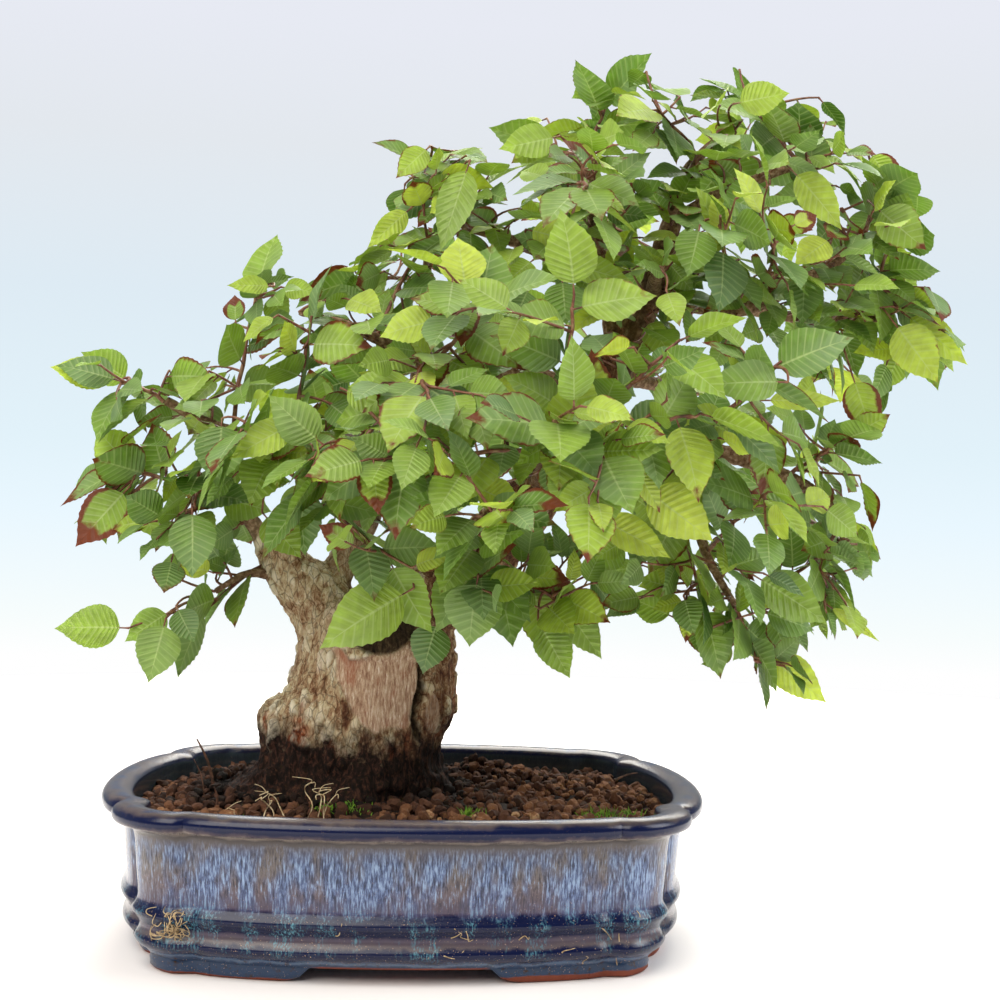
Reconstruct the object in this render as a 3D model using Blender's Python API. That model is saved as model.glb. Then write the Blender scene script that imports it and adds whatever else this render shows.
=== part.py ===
"""Korean hornbeam bonsai in a glazed oval pot with notched corners.

Run with: blender --background --python part.py
Units are metres, +Z is up and the front of the pot faces -Y. The shapes are
laid out about the middle of the pot's footprint, and the last step moves the
whole part so that its origin is the bottom centre of its bounding box.
"""

import math
import random

import bmesh
import bpy
from mathutils import Matrix, Vector
from mathutils.bvhtree import BVHTree

# Gap between one piece and the next, and distances that merge two points
CLEARANCE = 0.0003
WELD = 0.000002
TRUNK_WELD = 0.00008

# Pot: the rim's plan is four lobes that meet in notches
RIM_WIDTH = 0.340
RIM_DEPTH = 0.284
NOTCH_X = 0.150
NOTCH_Y = 0.0825
SCALLOP_X = 0.110
SCALLOP_Y = 0.1265
SCALLOP_BULGE = 0.0140
FLOOR_UNDERSIDE = 0.0073
FLOOR_TOP = 0.0151
FOOT_SINK = 0.0015
FOOT_INSET = 0.0225
FOOT_WIDTH = 0.0130
FOOT_INNER_X = 0.0450
FOOT_SIDE_Y = 0.0300
FOOT_END_STEP = 0.0040
DRAIN_X = 0.070
DRAIN_RADIUS = 0.009
DRAIN_SIDES = 16
DRAIN_CUT_LENGTH = 0.030

# Pot wall from the outer bottom edge, over the lip, to the inner floor: height
# and distance in from the rim's widest line
POT_WALL = (
    (0.0073, 0.0215), (0.0104, 0.0185), (0.0130, 0.0150), (0.0164, 0.0130),
    (0.0198, 0.0148), (0.0231, 0.0158), (0.0268, 0.0138), (0.0304, 0.0115),
    (0.0341, 0.0133), (0.0385, 0.0145), (0.0692, 0.0118), (0.0736, 0.0080),
    (0.0757, 0.0015), (0.0799, 0.0000), (0.0834, 0.0025), (0.0848, 0.0085),
    (0.0832, 0.0155), (0.0796, 0.0175), (0.0686, 0.0178), (0.0187, 0.0225),
    (0.0151, 0.0265),
)

# Drain mesh over each hole
MESH_SIDE = 0.026
MESH_THICK = 0.0010
MESH_BARS = 3
MESH_BAR_WIDTH = 0.0040

# Soil
SOIL_BOTTOM = 0.0168
SOIL_EDGE = 0.0690
SOIL_GRAIN = 0.0016
SOIL_GAP = 0.0005
SOIL_INSETS = (0.0268, 0.0230, 0.0184)
SOIL_CHAMFER = 0.0030
SOIL_RINGS = (0.20, 0.50, 0.80)

# Trunk column: height, centre x, centre y, half width, half depth
TRUNK_SECTIONS = (
    (0.0360, -0.042, 0.002, 0.058, 0.050),
    (0.0781, -0.0435, 0.002, 0.0645, 0.0551),
    (0.0866, -0.0356, 0.002, 0.0581, 0.0510),
    (0.0954, -0.0326, 0.002, 0.0522, 0.0478),
    (0.1070, -0.0320, 0.002, 0.0531, 0.0458),
    (0.1216, -0.0289, 0.002, 0.0563, 0.0447),
    (0.1362, -0.0217, 0.002, 0.0493, 0.0437),
    (0.1503, -0.0180, 0.002, 0.0457, 0.0426),
    (0.1648, -0.0178, 0.002, 0.0440, 0.0416),
    (0.1788, -0.0199, 0.002, 0.0416, 0.0374),
    (0.1880, -0.0230, 0.002, 0.0334, 0.0291),
    (0.1927, -0.0249, 0.002, 0.0188, 0.0166),
)
TRUNK_SIDES = 20
TRUNK_SQUARENESS = 2.3
BARK_UNEVEN = 0.0014
# The section at the soil's surface, and the swellings where the roots begin
SOIL_LEVEL = 1
ROOT_TOP = 0.1000
ROOT_FADE = 0.0300
ROOT_SWELL = 0.09
ROOT_COUNT = 5
# Flats left by old cuts on the front: a point on the flat and its outward normal
CUT_FLATS = (
    ((-0.0098, -0.0355, 0.1699), (-0.10, -0.86, 0.50)),
    ((-0.0126, -0.0405, 0.1307), (-0.06, -0.99, 0.04)),
)
FLAT_REACH = 0.030

# Limbs: x, y, z and radius along each one
LIMBS = {
    "left_stub": (
        (-0.038, 0.004, 0.158, 0.0250),
        (-0.051, -0.002, 0.184, 0.0203),
        (-0.070, -0.005, 0.203, 0.0151),
        (-0.078, -0.006, 0.219, 0.0130),
    ),
    "leader": (
        (-0.015, 0.000, 0.174, 0.0281),
        (0.008, 0.000, 0.188, 0.0250),
        (0.034, 0.004, 0.208, 0.0208),
        (0.061, 0.008, 0.236, 0.0177),
        (0.084, 0.010, 0.269, 0.0151),
        (0.104, 0.008, 0.301, 0.0130),
        (0.116, 0.006, 0.326, 0.0114),
        (0.122, 0.005, 0.341, 0.0104),
    ),
    "middle": (
        (-0.051, 0.000, 0.172, 0.0166),
        (-0.044, 0.000, 0.199, 0.0104),
        (-0.036, 0.004, 0.217, 0.0088),
        (-0.027, 0.006, 0.233, 0.0078),
        (-0.017, 0.008, 0.257, 0.0068),
        (-0.008, 0.000, 0.281, 0.0057),
        (-0.000, -0.005, 0.307, 0.0050),
        (0.002, 0.000, 0.334, 0.0042),
        (0.004, 0.005, 0.364, 0.0033),
        (0.006, 0.005, 0.399, 0.0025),
    ),
    "left": (
        (-0.015, 0.008, 0.259, 0.0057),
        (-0.049, 0.000, 0.271, 0.0052),
        (-0.083, -0.005, 0.278, 0.0045),
        (-0.117, -0.010, 0.286, 0.0036),
        (-0.142, -0.015, 0.299, 0.0027),
    ),
    "left_front": (
        (-0.049, 0.000, 0.271, 0.0042),
        (-0.063, -0.040, 0.271, 0.0035),
        (-0.076, -0.080, 0.266, 0.0027),
    ),
    "left_low": (
        (-0.077, -0.006, 0.208, 0.0073),
        (-0.093, -0.010, 0.232, 0.0047),
        (-0.109, -0.020, 0.248, 0.0033),
        (-0.130, -0.030, 0.253, 0.0025),
    ),
    "low_twig": (
        (-0.081, -0.010, 0.201, 0.0036),
        (-0.094, -0.020, 0.201, 0.0023),
        (-0.110, -0.025, 0.191, 0.0018),
    ),
    "left_back": (
        (-0.049, 0.000, 0.271, 0.0042),
        (-0.058, 0.050, 0.288, 0.0033),
        (-0.068, 0.090, 0.303, 0.0025),
    ),
    "fork_left": (
        (0.120, 0.006, 0.337, 0.0083),
        (0.115, 0.006, 0.362, 0.0068),
        (0.110, 0.008, 0.380, 0.0057),
        (0.105, 0.008, 0.406, 0.0047),
        (0.101, 0.006, 0.433, 0.0035),
        (0.098, 0.000, 0.455, 0.0026),
    ),
    "fork_right": (
        (0.119, 0.005, 0.334, 0.0088),
        (0.132, 0.000, 0.357, 0.0085),
        (0.139, -0.003, 0.376, 0.0079),
        (0.144, -0.003, 0.397, 0.0073),
        (0.149, 0.000, 0.414, 0.0062),
        (0.153, 0.004, 0.434, 0.0047),
        (0.165, 0.000, 0.454, 0.0034),
        (0.185, -0.004, 0.469, 0.0025),
    ),
    "mid_left": (
        (0.109, 0.008, 0.313, 0.0073),
        (0.085, 0.000, 0.317, 0.0057),
        (0.049, -0.012, 0.321, 0.0050),
        (0.022, -0.020, 0.322, 0.0044),
        (-0.009, -0.030, 0.330, 0.0036),
        (-0.040, -0.035, 0.343, 0.0028),
        (-0.066, -0.035, 0.349, 0.0021),
    ),
    "up_left": (
        (0.110, 0.008, 0.377, 0.0047),
        (0.083, 0.000, 0.388, 0.0040),
        (0.053, -0.010, 0.398, 0.0033),
        (0.026, -0.010, 0.406, 0.0027),
        (0.012, -0.010, 0.417, 0.0021),
    ),
    "right": (
        (0.137, -0.002, 0.367, 0.0062),
        (0.163, -0.020, 0.362, 0.0054),
        (0.187, -0.030, 0.360, 0.0050),
        (0.213, -0.030, 0.372, 0.0042),
        (0.242, -0.020, 0.390, 0.0033),
        (0.261, -0.015, 0.407, 0.0025),
    ),
    "right_end": (
        (0.187, -0.030, 0.360, 0.0040),
        (0.224, -0.010, 0.358, 0.0033),
        (0.257, 0.000, 0.359, 0.0027),
        (0.278, 0.000, 0.361, 0.0021),
    ),
    "right_low": (
        (0.094, 0.009, 0.284, 0.0083),
        (0.132, -0.010, 0.277, 0.0062),
        (0.176, -0.020, 0.277, 0.0052),
        (0.214, -0.020, 0.265, 0.0042),
        (0.244, -0.010, 0.249, 0.0031),
        (0.257, 0.000, 0.225, 0.0023),
    ),
    "right_hang": (
        (0.154, -0.015, 0.277, 0.0042),
        (0.161, -0.030, 0.249, 0.0035),
        (0.165, -0.040, 0.221, 0.0029),
        (0.182, -0.045, 0.190, 0.0021),
    ),
    "front_centre": (
        (0.075, 0.008, 0.257, 0.0083),
        (0.073, -0.050, 0.263, 0.0052),
        (0.071, -0.100, 0.269, 0.0037),
        (0.073, -0.140, 0.270, 0.0025),
    ),
    "front_low": (
        (0.034, 0.000, 0.209, 0.0073),
        (0.030, -0.050, 0.213, 0.0042),
        (0.031, -0.090, 0.216, 0.0027),
    ),
    "front_right": (
        (0.127, -0.007, 0.276, 0.0045),
        (0.135, -0.060, 0.273, 0.0037),
        (0.138, -0.110, 0.268, 0.0027),
    ),
    "front_high": (
        (0.139, -0.003, 0.373, 0.0052),
        (0.132, -0.050, 0.371, 0.0037),
        (0.127, -0.100, 0.368, 0.0026),
    ),
    "front_left": (
        (0.022, -0.020, 0.322, 0.0037),
        (0.013, -0.070, 0.315, 0.0031),
        (0.002, -0.120, 0.305, 0.0023),
    ),
    "back_centre": (
        (0.078, 0.010, 0.260, 0.0083),
        (0.079, 0.060, 0.280, 0.0052),
        (0.079, 0.110, 0.299, 0.0033),
        (0.078, 0.140, 0.311, 0.0023),
    ),
    "back_high": (
        (0.139, 0.000, 0.376, 0.0062),
        (0.157, 0.050, 0.391, 0.0042),
        (0.178, 0.100, 0.403, 0.0027),
    ),
    "back_right": (
        (0.117, 0.010, 0.323, 0.0062),
        (0.154, 0.060, 0.323, 0.0042),
        (0.202, 0.110, 0.322, 0.0027),
    ),
    "back_up": (
        (0.111, 0.010, 0.380, 0.0052),
        (0.094, 0.050, 0.401, 0.0035),
        (0.071, 0.090, 0.421, 0.0025),
    ),
    "back_left": (
        (-0.015, 0.010, 0.263, 0.0052),
        (-0.009, 0.060, 0.290, 0.0037),
        (0.003, 0.110, 0.313, 0.0025),
    ),
    "top_front": (
        (0.105, 0.008, 0.406, 0.0037),
        (0.097, -0.030, 0.419, 0.0031),
        (0.089, -0.070, 0.421, 0.0023),
    ),
    "top_right": (
        (0.149, 0.000, 0.414, 0.0047),
        (0.174, -0.020, 0.427, 0.0037),
        (0.200, -0.030, 0.437, 0.0029),
        (0.229, -0.020, 0.449, 0.0021),
    ),
}
# Smallest start radius and number of sides of thick, middling and thin limbs
LIMB_SIDES = ((0.0078, 8), (0.0038, 5), (0.0, 4))
LIMB_UNEVEN = 0.08
LIMB_STATIONS = 6
TWIG_BEARING_RADIUS = 0.0095
STUB_HOLLOW = 0.006

# Sprays: where the twig of each one ends
TWIG_ENDS = (
    (-0.167, -0.020, 0.309), (-0.163, -0.030, 0.259), (-0.127, -0.050, 0.235), (-0.091, 0.000, 0.360),
    (-0.063, -0.060, 0.340), (-0.041, 0.030, 0.379), (-0.001, 0.000, 0.411), (0.006, 0.000, 0.441),
    (0.077, 0.050, 0.466), (0.108, 0.000, 0.480), (0.133, -0.030, 0.472), (0.193, 0.000, 0.483),
    (0.223, -0.020, 0.460), (0.260, 0.000, 0.452), (0.268, -0.020, 0.418), (0.278, 0.050, 0.403),
    (0.290, 0.000, 0.360), (0.254, -0.020, 0.269), (0.271, 0.020, 0.228), (0.244, -0.020, 0.193),
    (0.201, -0.040, 0.168), (0.159, -0.060, 0.191), (0.080, -0.080, 0.193), (0.036, -0.110, 0.208),
    (-0.003, -0.100, 0.198), (-0.120, -0.030, 0.185), (-0.087, -0.120, 0.277), (-0.056, -0.120, 0.242),
    (-0.031, -0.140, 0.282), (0.007, -0.160, 0.294), (0.027, -0.165, 0.258), (0.060, -0.170, 0.292),
    (0.071, -0.165, 0.235), (0.099, -0.170, 0.260), (0.140, -0.150, 0.289), (0.182, -0.120, 0.315),
    (0.181, -0.130, 0.253), (0.037, -0.120, 0.346), (0.076, -0.140, 0.350), (0.083, -0.110, 0.401),
    (0.144, -0.120, 0.391), (0.190, -0.100, 0.391), (0.140, -0.150, 0.330), (-0.100, 0.100, 0.297),
    (-0.037, 0.120, 0.333), (0.034, 0.120, 0.388), (0.106, 0.110, 0.442), (0.213, 0.110, 0.446),
    (0.257, 0.120, 0.355), (0.221, 0.130, 0.267), (0.127, 0.150, 0.286), (0.017, 0.140, 0.282),
)
SEED = 11
CROWN_MIDDLE = Vector((0.050, 0.0, 0.290))
TWIG_BASE_RADIUS = 0.0015
TWIG_TIP_RADIUS = 0.0009
TWIG_REACH = (0.028, 0.085)
TWIG_SEGMENTS = 3
TWIG_SIDES = 4
TWIG_BEND = 0.006
TWIG_RISE = 0.004
TWIG_TRIES = 120

# Leaves: how many on a twig, how far apart, and how long
LEAF_SPACING = 0.0105
LEAF_COUNT = (4, 7)
LEAF_FIRST = 0.20
LEAF_LENGTH = (0.036, 0.049)
# Half width and rib's half thickness, and how far a blade arches and folds
LEAF_ASPECT = (0.29, 0.33)
LEAF_RIB = 0.0007
LEAF_RIB_PEAK = 0.34
LEAF_DROOP = 0.10
LEAF_FOLD = 0.16
LEAF_SINK = 0.6
LEAF_ANGLE = (38, 70)
LEAF_HANG = (0.10, 0.70)
LEAF_SHRINK = 0.008
# Half outline of a leaf with its teeth: share of the length, share of the half width
LEAF_SIDE = ((0.12, 0.05), (0.25, 0.84), (0.48, 1.00), (0.52, 0.84), (0.75, 0.60))
LEAF_TRIES = 40
SAFE_MARGIN = 0.0006
SPRAY_TRIES = 4

# Colour, roughness and coat weight of each material
MATERIALS = {
    "glaze_blue": ((0.035, 0.060, 0.150), 0.18, 0.8),
    "clay_soil": ((0.150, 0.070, 0.035), 0.95, 0.0),
    "bark": ((0.300, 0.220, 0.150), 0.90, 0.0),
    "leaf_green": ((0.120, 0.270, 0.045), 0.50, 0.1),
    "mesh_plastic": ((0.030, 0.030, 0.032), 0.55, 0.0),
}


def clear_scene():
    for item in list(bpy.data.objects):
        bpy.data.objects.remove(item, do_unlink=True)
    for mesh in list(bpy.data.meshes):
        bpy.data.meshes.remove(mesh)


def make_material(name):
    colour, roughness, coat = MATERIALS[name]
    material = bpy.data.materials.new(name)
    material.use_nodes = True
    shader = material.node_tree.nodes["Principled BSDF"]
    shader.inputs["Base Color"].default_value = (*colour, 1.0)
    shader.inputs["Roughness"].default_value = roughness
    shader.inputs["Metallic"].default_value = 0.0
    shader.inputs["Coat Weight"].default_value = coat
    return material


def make_object(name, points, faces, material=None):
    mesh = bpy.data.meshes.new(name)
    mesh.from_pydata([tuple(p) for p in points], [], faces)
    mesh.validate()
    piece = bpy.data.objects.new(name, mesh)
    bpy.context.scene.collection.objects.link(piece)
    if material:
        mesh.materials.append(material)
    return piece


def face_outwards(piece):
    shape = bmesh.new()
    shape.from_mesh(piece.data)
    bmesh.ops.recalc_face_normals(shape, faces=shape.faces[:])
    shape.to_mesh(piece.data)
    shape.free()


def apply_modifiers(piece):
    bpy.context.view_layer.objects.active = piece
    for modifier in list(piece.modifiers):
        with bpy.context.temp_override(object=piece, active_object=piece):
            bpy.ops.object.modifier_apply(modifier=modifier.name)


def join_pieces(piece, others, operation="UNION"):
    """Union or subtract a list of objects, then remove them."""
    group = bpy.data.collections.new("join")
    bpy.context.scene.collection.children.link(group)
    for other in others:
        bpy.context.scene.collection.objects.unlink(other)
        group.objects.link(other)
    step = piece.modifiers.new("join", "BOOLEAN")
    step.operation = operation
    step.operand_type = "COLLECTION"
    step.collection = group
    step.solver = "EXACT"
    apply_modifiers(piece)
    for other in others:
        mesh = other.data
        bpy.data.objects.remove(other, do_unlink=True)
        bpy.data.meshes.remove(mesh)
    bpy.data.collections.remove(group)


def clean_mesh(piece, weld=WELD):
    """Merge doubled points and split every face into triangles."""
    shape = bmesh.new()
    shape.from_mesh(piece.data)
    bmesh.ops.remove_doubles(shape, verts=shape.verts[:], dist=weld)
    bmesh.ops.dissolve_degenerate(shape, edges=shape.edges[:], dist=weld)
    bmesh.ops.triangulate(shape, faces=shape.faces[:])
    shape.to_mesh(piece.data)
    shape.free()


def shells_of(shape):
    """Groups of joined vertices, the one with the most first."""
    unseen = set(shape.verts)
    shells = []
    while unseen:
        waiting = [unseen.pop()]
        shell = list(waiting)
        while waiting:
            vertex = waiting.pop()
            for edge in vertex.link_edges:
                other = edge.other_vert(vertex)
                if other in unseen:
                    unseen.remove(other)
                    waiting.append(other)
                    shell.append(other)
        shells.append(shell)
    return sorted(shells, key=len, reverse=True)


def keep_main_shell(piece):
    """Fill sealed hollows and drop loose scraps left by a union."""
    shape = bmesh.new()
    shape.from_mesh(piece.data)
    for shell in shells_of(shape)[1:]:
        bmesh.ops.delete(shape, geom=shell, context="VERTS")
    closed = all(edge.is_manifold and edge.calc_length() > WELD for edge in shape.edges)
    closed = closed and all(vertex.is_manifold for vertex in shape.verts)
    shape.to_mesh(piece.data)
    shape.free()
    return closed


def smooth_below(piece, degrees):
    bpy.context.view_layer.objects.active = piece
    for item in bpy.context.selected_objects:
        item.select_set(False)
    piece.select_set(True)
    bpy.ops.object.shade_smooth_by_angle(angle=math.radians(degrees))
    piece.select_set(False)


def bulged_line(start, end, bulge, steps, power):
    """Points from start up to, not including, end, bowed out to the right."""
    start, end = Vector(start), Vector(end)
    along = end - start
    outward = Vector((along.y, -along.x)).normalized()
    points = []
    for step in range(steps):
        share = (1.0 - math.cos(math.pi * step / steps)) / 2.0
        height = bulge * (4.0 * share * (1.0 - share)) ** power
        points.append(start + along * share + outward * height)
    return points


def rim_outline():
    """The rim's widest line, anticlockwise from the right front notch."""
    x, y = NOTCH_X, NOTCH_Y
    inner_x, inner_y = SCALLOP_X, SCALLOP_Y
    side_bulge = RIM_WIDTH / 2.0 - x
    middle_bulge = RIM_DEPTH / 2.0 - inner_y
    points = bulged_line((x, -y), (x, y), side_bulge, 8, 0.60)
    points += bulged_line((x, y), (inner_x, inner_y), SCALLOP_BULGE, 3, 0.60)
    points += bulged_line((inner_x, inner_y), (-inner_x, inner_y), middle_bulge, 9, 0.72)
    points += bulged_line((-inner_x, inner_y), (-x, y), SCALLOP_BULGE, 3, 0.60)
    points += bulged_line((-x, y), (-x, -y), side_bulge, 8, 0.60)
    points += bulged_line((-x, -y), (-inner_x, -inner_y), SCALLOP_BULGE, 3, 0.60)
    points += bulged_line((-inner_x, -inner_y), (inner_x, -inner_y), middle_bulge, 9, 0.72)
    points += bulged_line((inner_x, -inner_y), (x, -y), SCALLOP_BULGE, 3, 0.60)
    return points


def inward_normals(outline):
    normals = []
    count = len(outline)
    for i, point in enumerate(outline):
        before = (point - outline[i - 1]).normalized()
        after = (outline[(i + 1) % count] - point).normalized()
        along = (before + after).normalized()
        normals.append(Vector((-along.y, along.x)))
    return normals


def offset_ring(outline, normals, inset, height):
    return [Vector((p.x + n.x * inset, p.y + n.y * inset, height)) for p, n in zip(outline, normals)]


def bridge_rings(rings, close_ends=True):
    """Points and faces of stacked rings, with a cap at either end."""
    count = len(rings[0])
    points = [p for ring in rings for p in ring]
    faces = []
    for level in range(len(rings) - 1):
        low = level * count
        high = low + count
        for i in range(count):
            j = (i + 1) % count
            faces.append((low + i, low + j, high + j, high + i))
    if close_ends:
        last = (len(rings) - 1) * count
        faces.append(tuple(reversed(range(count))))
        faces.append(tuple(range(last, last + count)))
    return points, faces


def make_foot(name, outline, normals, side_x, side_y):
    """One bracket foot that follows the pot's corner, with stepped ends."""
    turn = len(outline) // 2 if side_x > 0 and side_y < 0 else 0
    places = list(zip(outline, normals))
    picked = []
    for point, normal in places[turn:] + places[:turn]:
        if point.x * side_x >= FOOT_INNER_X and point.y * side_y >= FOOT_SIDE_Y:
            picked.append((point, normal))
    top = FLOOR_UNDERSIDE + FOOT_SINK
    count = len(picked)
    rings = []
    for i, (point, normal) in enumerate(picked):
        bottom = FOOT_END_STEP if i in (0, count - 1) else 0.0
        outer = point + normal * FOOT_INSET
        inner = point + normal * (FOOT_INSET + FOOT_WIDTH)
        rings.append([
            Vector((outer.x, outer.y, bottom)), Vector((outer.x, outer.y, top)),
            Vector((inner.x, inner.y, top)), Vector((inner.x, inner.y, bottom)),
        ])
    points, faces = bridge_rings(rings)
    foot = make_object(name, points, faces)
    face_outwards(foot)
    return foot


def make_pot():
    outline = rim_outline()
    normals = inward_normals(outline)
    rings = [offset_ring(outline, normals, inset, height) for height, inset in POT_WALL]
    points, faces = bridge_rings(rings)
    pot = make_object("pot", points, faces, make_material("glaze_blue"))
    face_outwards(pot)
    feet = []
    for side_x in (-1, 1):
        for side_y in (-1, 1):
            feet.append(make_foot("foot", outline, normals, side_x, side_y))
    join_pieces(pot, feet)
    drains = []
    for side in (-1, 1):
        bpy.ops.mesh.primitive_cylinder_add(
            vertices=DRAIN_SIDES, radius=DRAIN_RADIUS, depth=DRAIN_CUT_LENGTH,
            location=(side * DRAIN_X, 0.0, FLOOR_UNDERSIDE))
        drain = bpy.context.active_object
        for holder in list(drain.users_collection):
            holder.objects.unlink(drain)
        bpy.context.scene.collection.objects.link(drain)
        drains.append(drain)
    join_pieces(pot, drains, "DIFFERENCE")
    clean_mesh(pot)
    smooth_below(pot, 40)
    return pot


def make_drain_mesh(name, centre_x, material):
    """Square plastic grid that lies over one drain hole."""
    pitch = (MESH_SIDE - MESH_BAR_WIDTH) / (MESH_BARS - 1)
    low = FLOOR_TOP + CLEARANCE
    half = MESH_SIDE / 2.0
    edges = []
    for bar in range(MESH_BARS):
        edges += [-half + bar * pitch, -half + bar * pitch + MESH_BAR_WIDTH]
    shape = bmesh.new()
    grid = [[shape.verts.new((centre_x + x, y, low)) for x in edges] for y in edges]
    for row in range(len(edges) - 1):
        for column in range(len(edges) - 1):
            if row % 2 and column % 2:
                continue
            shape.faces.new((grid[row][column], grid[row][column + 1],
                             grid[row + 1][column + 1], grid[row + 1][column]))
    raised = bmesh.ops.extrude_face_region(shape, geom=shape.faces[:])
    for item in raised["geom"]:
        if isinstance(item, bmesh.types.BMVert):
            item.co.z += MESH_THICK
    bmesh.ops.recalc_face_normals(shape, faces=shape.faces[:])
    mesh = bpy.data.meshes.new(name)
    shape.to_mesh(mesh)
    shape.free()
    mesh.materials.append(material)
    piece = bpy.data.objects.new(name, mesh)
    bpy.context.scene.collection.objects.link(piece)
    clean_mesh(piece)
    return piece


def trunk_ring(level, grow=0.0):
    """Section of the trunk column, with root swellings low down."""
    height, centre_x, centre_y, half_x, half_y = TRUNK_SECTIONS[level]
    swell = max(0.0, min(1.0, (ROOT_TOP - height) / ROOT_FADE)) * ROOT_SWELL
    bark = random.Random(40 + level)
    ring = []
    for side in range(TRUNK_SIDES):
        angle = 2.0 * math.pi * side / TRUNK_SIDES
        across, deep = math.cos(angle), math.sin(angle)
        power = TRUNK_SQUARENESS
        radius = (abs(across / half_x) ** power + abs(deep / half_y) ** power) ** (-1.0 / power)
        radius *= 1.0 + swell * math.cos(ROOT_COUNT * angle + 0.6)
        radius += bark.uniform(-BARK_UNEVEN, BARK_UNEVEN) + grow
        ring.append(Vector((centre_x + radius * across, centre_y + radius * deep, height)))
    return ring


def press_flats(ring):
    """Move points that stand proud of an old cut back onto its flat."""
    pressed = []
    for point in ring:
        for centre, normal in CUT_FLATS:
            outward = Vector(normal).normalized()
            proud = (point - Vector(centre)).dot(outward)
            reach = (point - Vector(centre)).length
            if proud > 0.0 and reach < FLAT_REACH:
                point = point - outward * proud
        pressed.append(point)
    return pressed


def make_tube(name, path, sides, seed, hollow=0.0):
    """Closed tube along (x, y, z, radius) points, a little uneven like bark."""
    uneven = random.Random(seed)
    places = [Vector(p[:3]) for p in path]
    rings = []
    across = None
    for i, place in enumerate(places):
        before = places[max(i - 1, 0)]
        after = places[min(i + 1, len(places) - 1)]
        along = (after - before).normalized()
        if across is None:
            across = along.orthogonal().normalized()
        across = (across - along * across.dot(along)).normalized()
        third = along.cross(across)
        ring = []
        for side in range(sides):
            angle = 2.0 * math.pi * side / sides
            radius = path[i][3] * uneven.uniform(1.0 - LIMB_UNEVEN, 1.0 + LIMB_UNEVEN)
            ring.append(place + (across * math.cos(angle) + third * math.sin(angle)) * radius)
        rings.append(ring)
    if hollow:
        end = places[-1]
        back = (places[-1] - places[-2]).normalized() * hollow
        rings.append([end + (p - end) * 0.62 for p in rings[-1]])
        rings.append([end - back + (p - end) * 0.40 for p in rings[-2]])
    points, faces = bridge_rings(rings)
    tube = make_object(name, points, faces)
    face_outwards(tube)
    return tube


def limb_sides(radius):
    for smallest, sides in LIMB_SIDES:
        if radius >= smallest:
            return sides


def make_trunk():
    rings = []
    for level in range(len(TRUNK_SECTIONS)):
        ring = trunk_ring(level)
        rings.append(press_flats(ring) if level > SOIL_LEVEL else ring)
    points, faces = bridge_rings(rings)
    trunk = make_object("trunk", points, faces, make_material("bark"))
    face_outwards(trunk)
    limbs = []
    for seed, (name, path) in enumerate(LIMBS.items()):
        hollow = STUB_HOLLOW if name == "left_stub" else 0.0
        limbs.append(make_tube(name, path, limb_sides(path[0][3]), seed, hollow))
    join_pieces(trunk, limbs)
    clean_mesh(trunk, TRUNK_WELD)
    keep_main_shell(trunk)
    smooth_below(trunk, 50)
    return trunk


def turn_round(points, middle):
    """The points in order of their angle about the middle, with the angles."""
    placed = [(math.atan2(p.y - middle.y, p.x - middle.x), p) for p in points]
    placed.sort(key=lambda item: item[0])
    return [item[1] for item in placed], [item[0] for item in placed]


def zip_rings(outer_angles, inner_angles, outer_start, inner_start):
    """Triangles between two rings that go round the same middle."""
    faces = []
    outer_count, inner_count = len(outer_angles), len(inner_angles)
    i = j = 0
    while i < outer_count or j < inner_count:
        next_outer = outer_angles[(i + 1) % outer_count] + 2 * math.pi * ((i + 1) // outer_count)
        next_inner = inner_angles[(j + 1) % inner_count] + 2 * math.pi * ((j + 1) // inner_count)
        outer = outer_start + i % outer_count
        inner = inner_start + j % inner_count
        if j >= inner_count or (i < outer_count and next_outer < next_inner):
            faces.append((outer, outer_start + (i + 1) % outer_count, inner))
            i += 1
        else:
            faces.append((outer, inner_start + (j + 1) % inner_count, inner))
            j += 1
    return faces


def make_soil():
    """Soil in the pot, banked at the trunk, with a plain hole for its foot."""
    outline = rim_outline()
    normals = inward_normals(outline)
    grain = random.Random(7)
    middle = Vector(TRUNK_SECTIONS[SOIL_LEVEL][1:3])
    rim, rim_angles = turn_round(trunk_ring(SOIL_LEVEL, SOIL_GAP), middle)
    rim_height = TRUNK_SECTIONS[SOIL_LEVEL][0]
    bottom_inset, chamfer_inset, edge_inset = SOIL_INSETS
    edge = offset_ring(outline, normals, edge_inset, SOIL_EDGE)
    rings = [
        offset_ring(outline, normals, bottom_inset, SOIL_BOTTOM),
        offset_ring(outline, normals, chamfer_inset, SOIL_BOTTOM + SOIL_CHAMFER),
        edge,
    ]
    mean_reach = sum((p.xy - middle).length for p in rim) / len(rim)
    for share in SOIL_RINGS:
        ring = []
        for outer in edge:
            away = outer.xy - middle
            inner = middle + away.normalized() * mean_reach
            place = outer.xy.lerp(inner, share)
            height = SOIL_EDGE + (rim_height - SOIL_EDGE) * share ** 1.6
            ring.append(Vector((*place, height + grain.uniform(-SOIL_GRAIN, SOIL_GRAIN))))
        rings.append(ring)
    rings[-1], angles = turn_round(rings[-1], middle)
    rings[:-1] = [turn_round(ring, middle)[0] for ring in rings[:-1]]
    points, faces = bridge_rings(rings, close_ends=False)
    faces.append(tuple(reversed(range(len(edge)))))
    start = len(points)
    points += rim
    faces += zip_rings(angles, rim_angles, start - len(edge), start)
    low_rim = turn_round(trunk_ring(0, SOIL_GAP), middle)[0]
    points += [Vector((p.x, p.y, p.z - CLEARANCE)) for p in low_rim]
    sides = len(rim)
    for side in range(sides):
        other = (side + 1) % sides
        faces.append((start + side, start + other, start + sides + other, start + sides + side))
    faces.append(tuple(range(start + sides, start + 2 * sides)))
    soil = make_object("soil", points, faces, make_material("clay_soil"))
    face_outwards(soil)
    clean_mesh(soil)
    smooth_below(soil, 25)
    return soil


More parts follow.
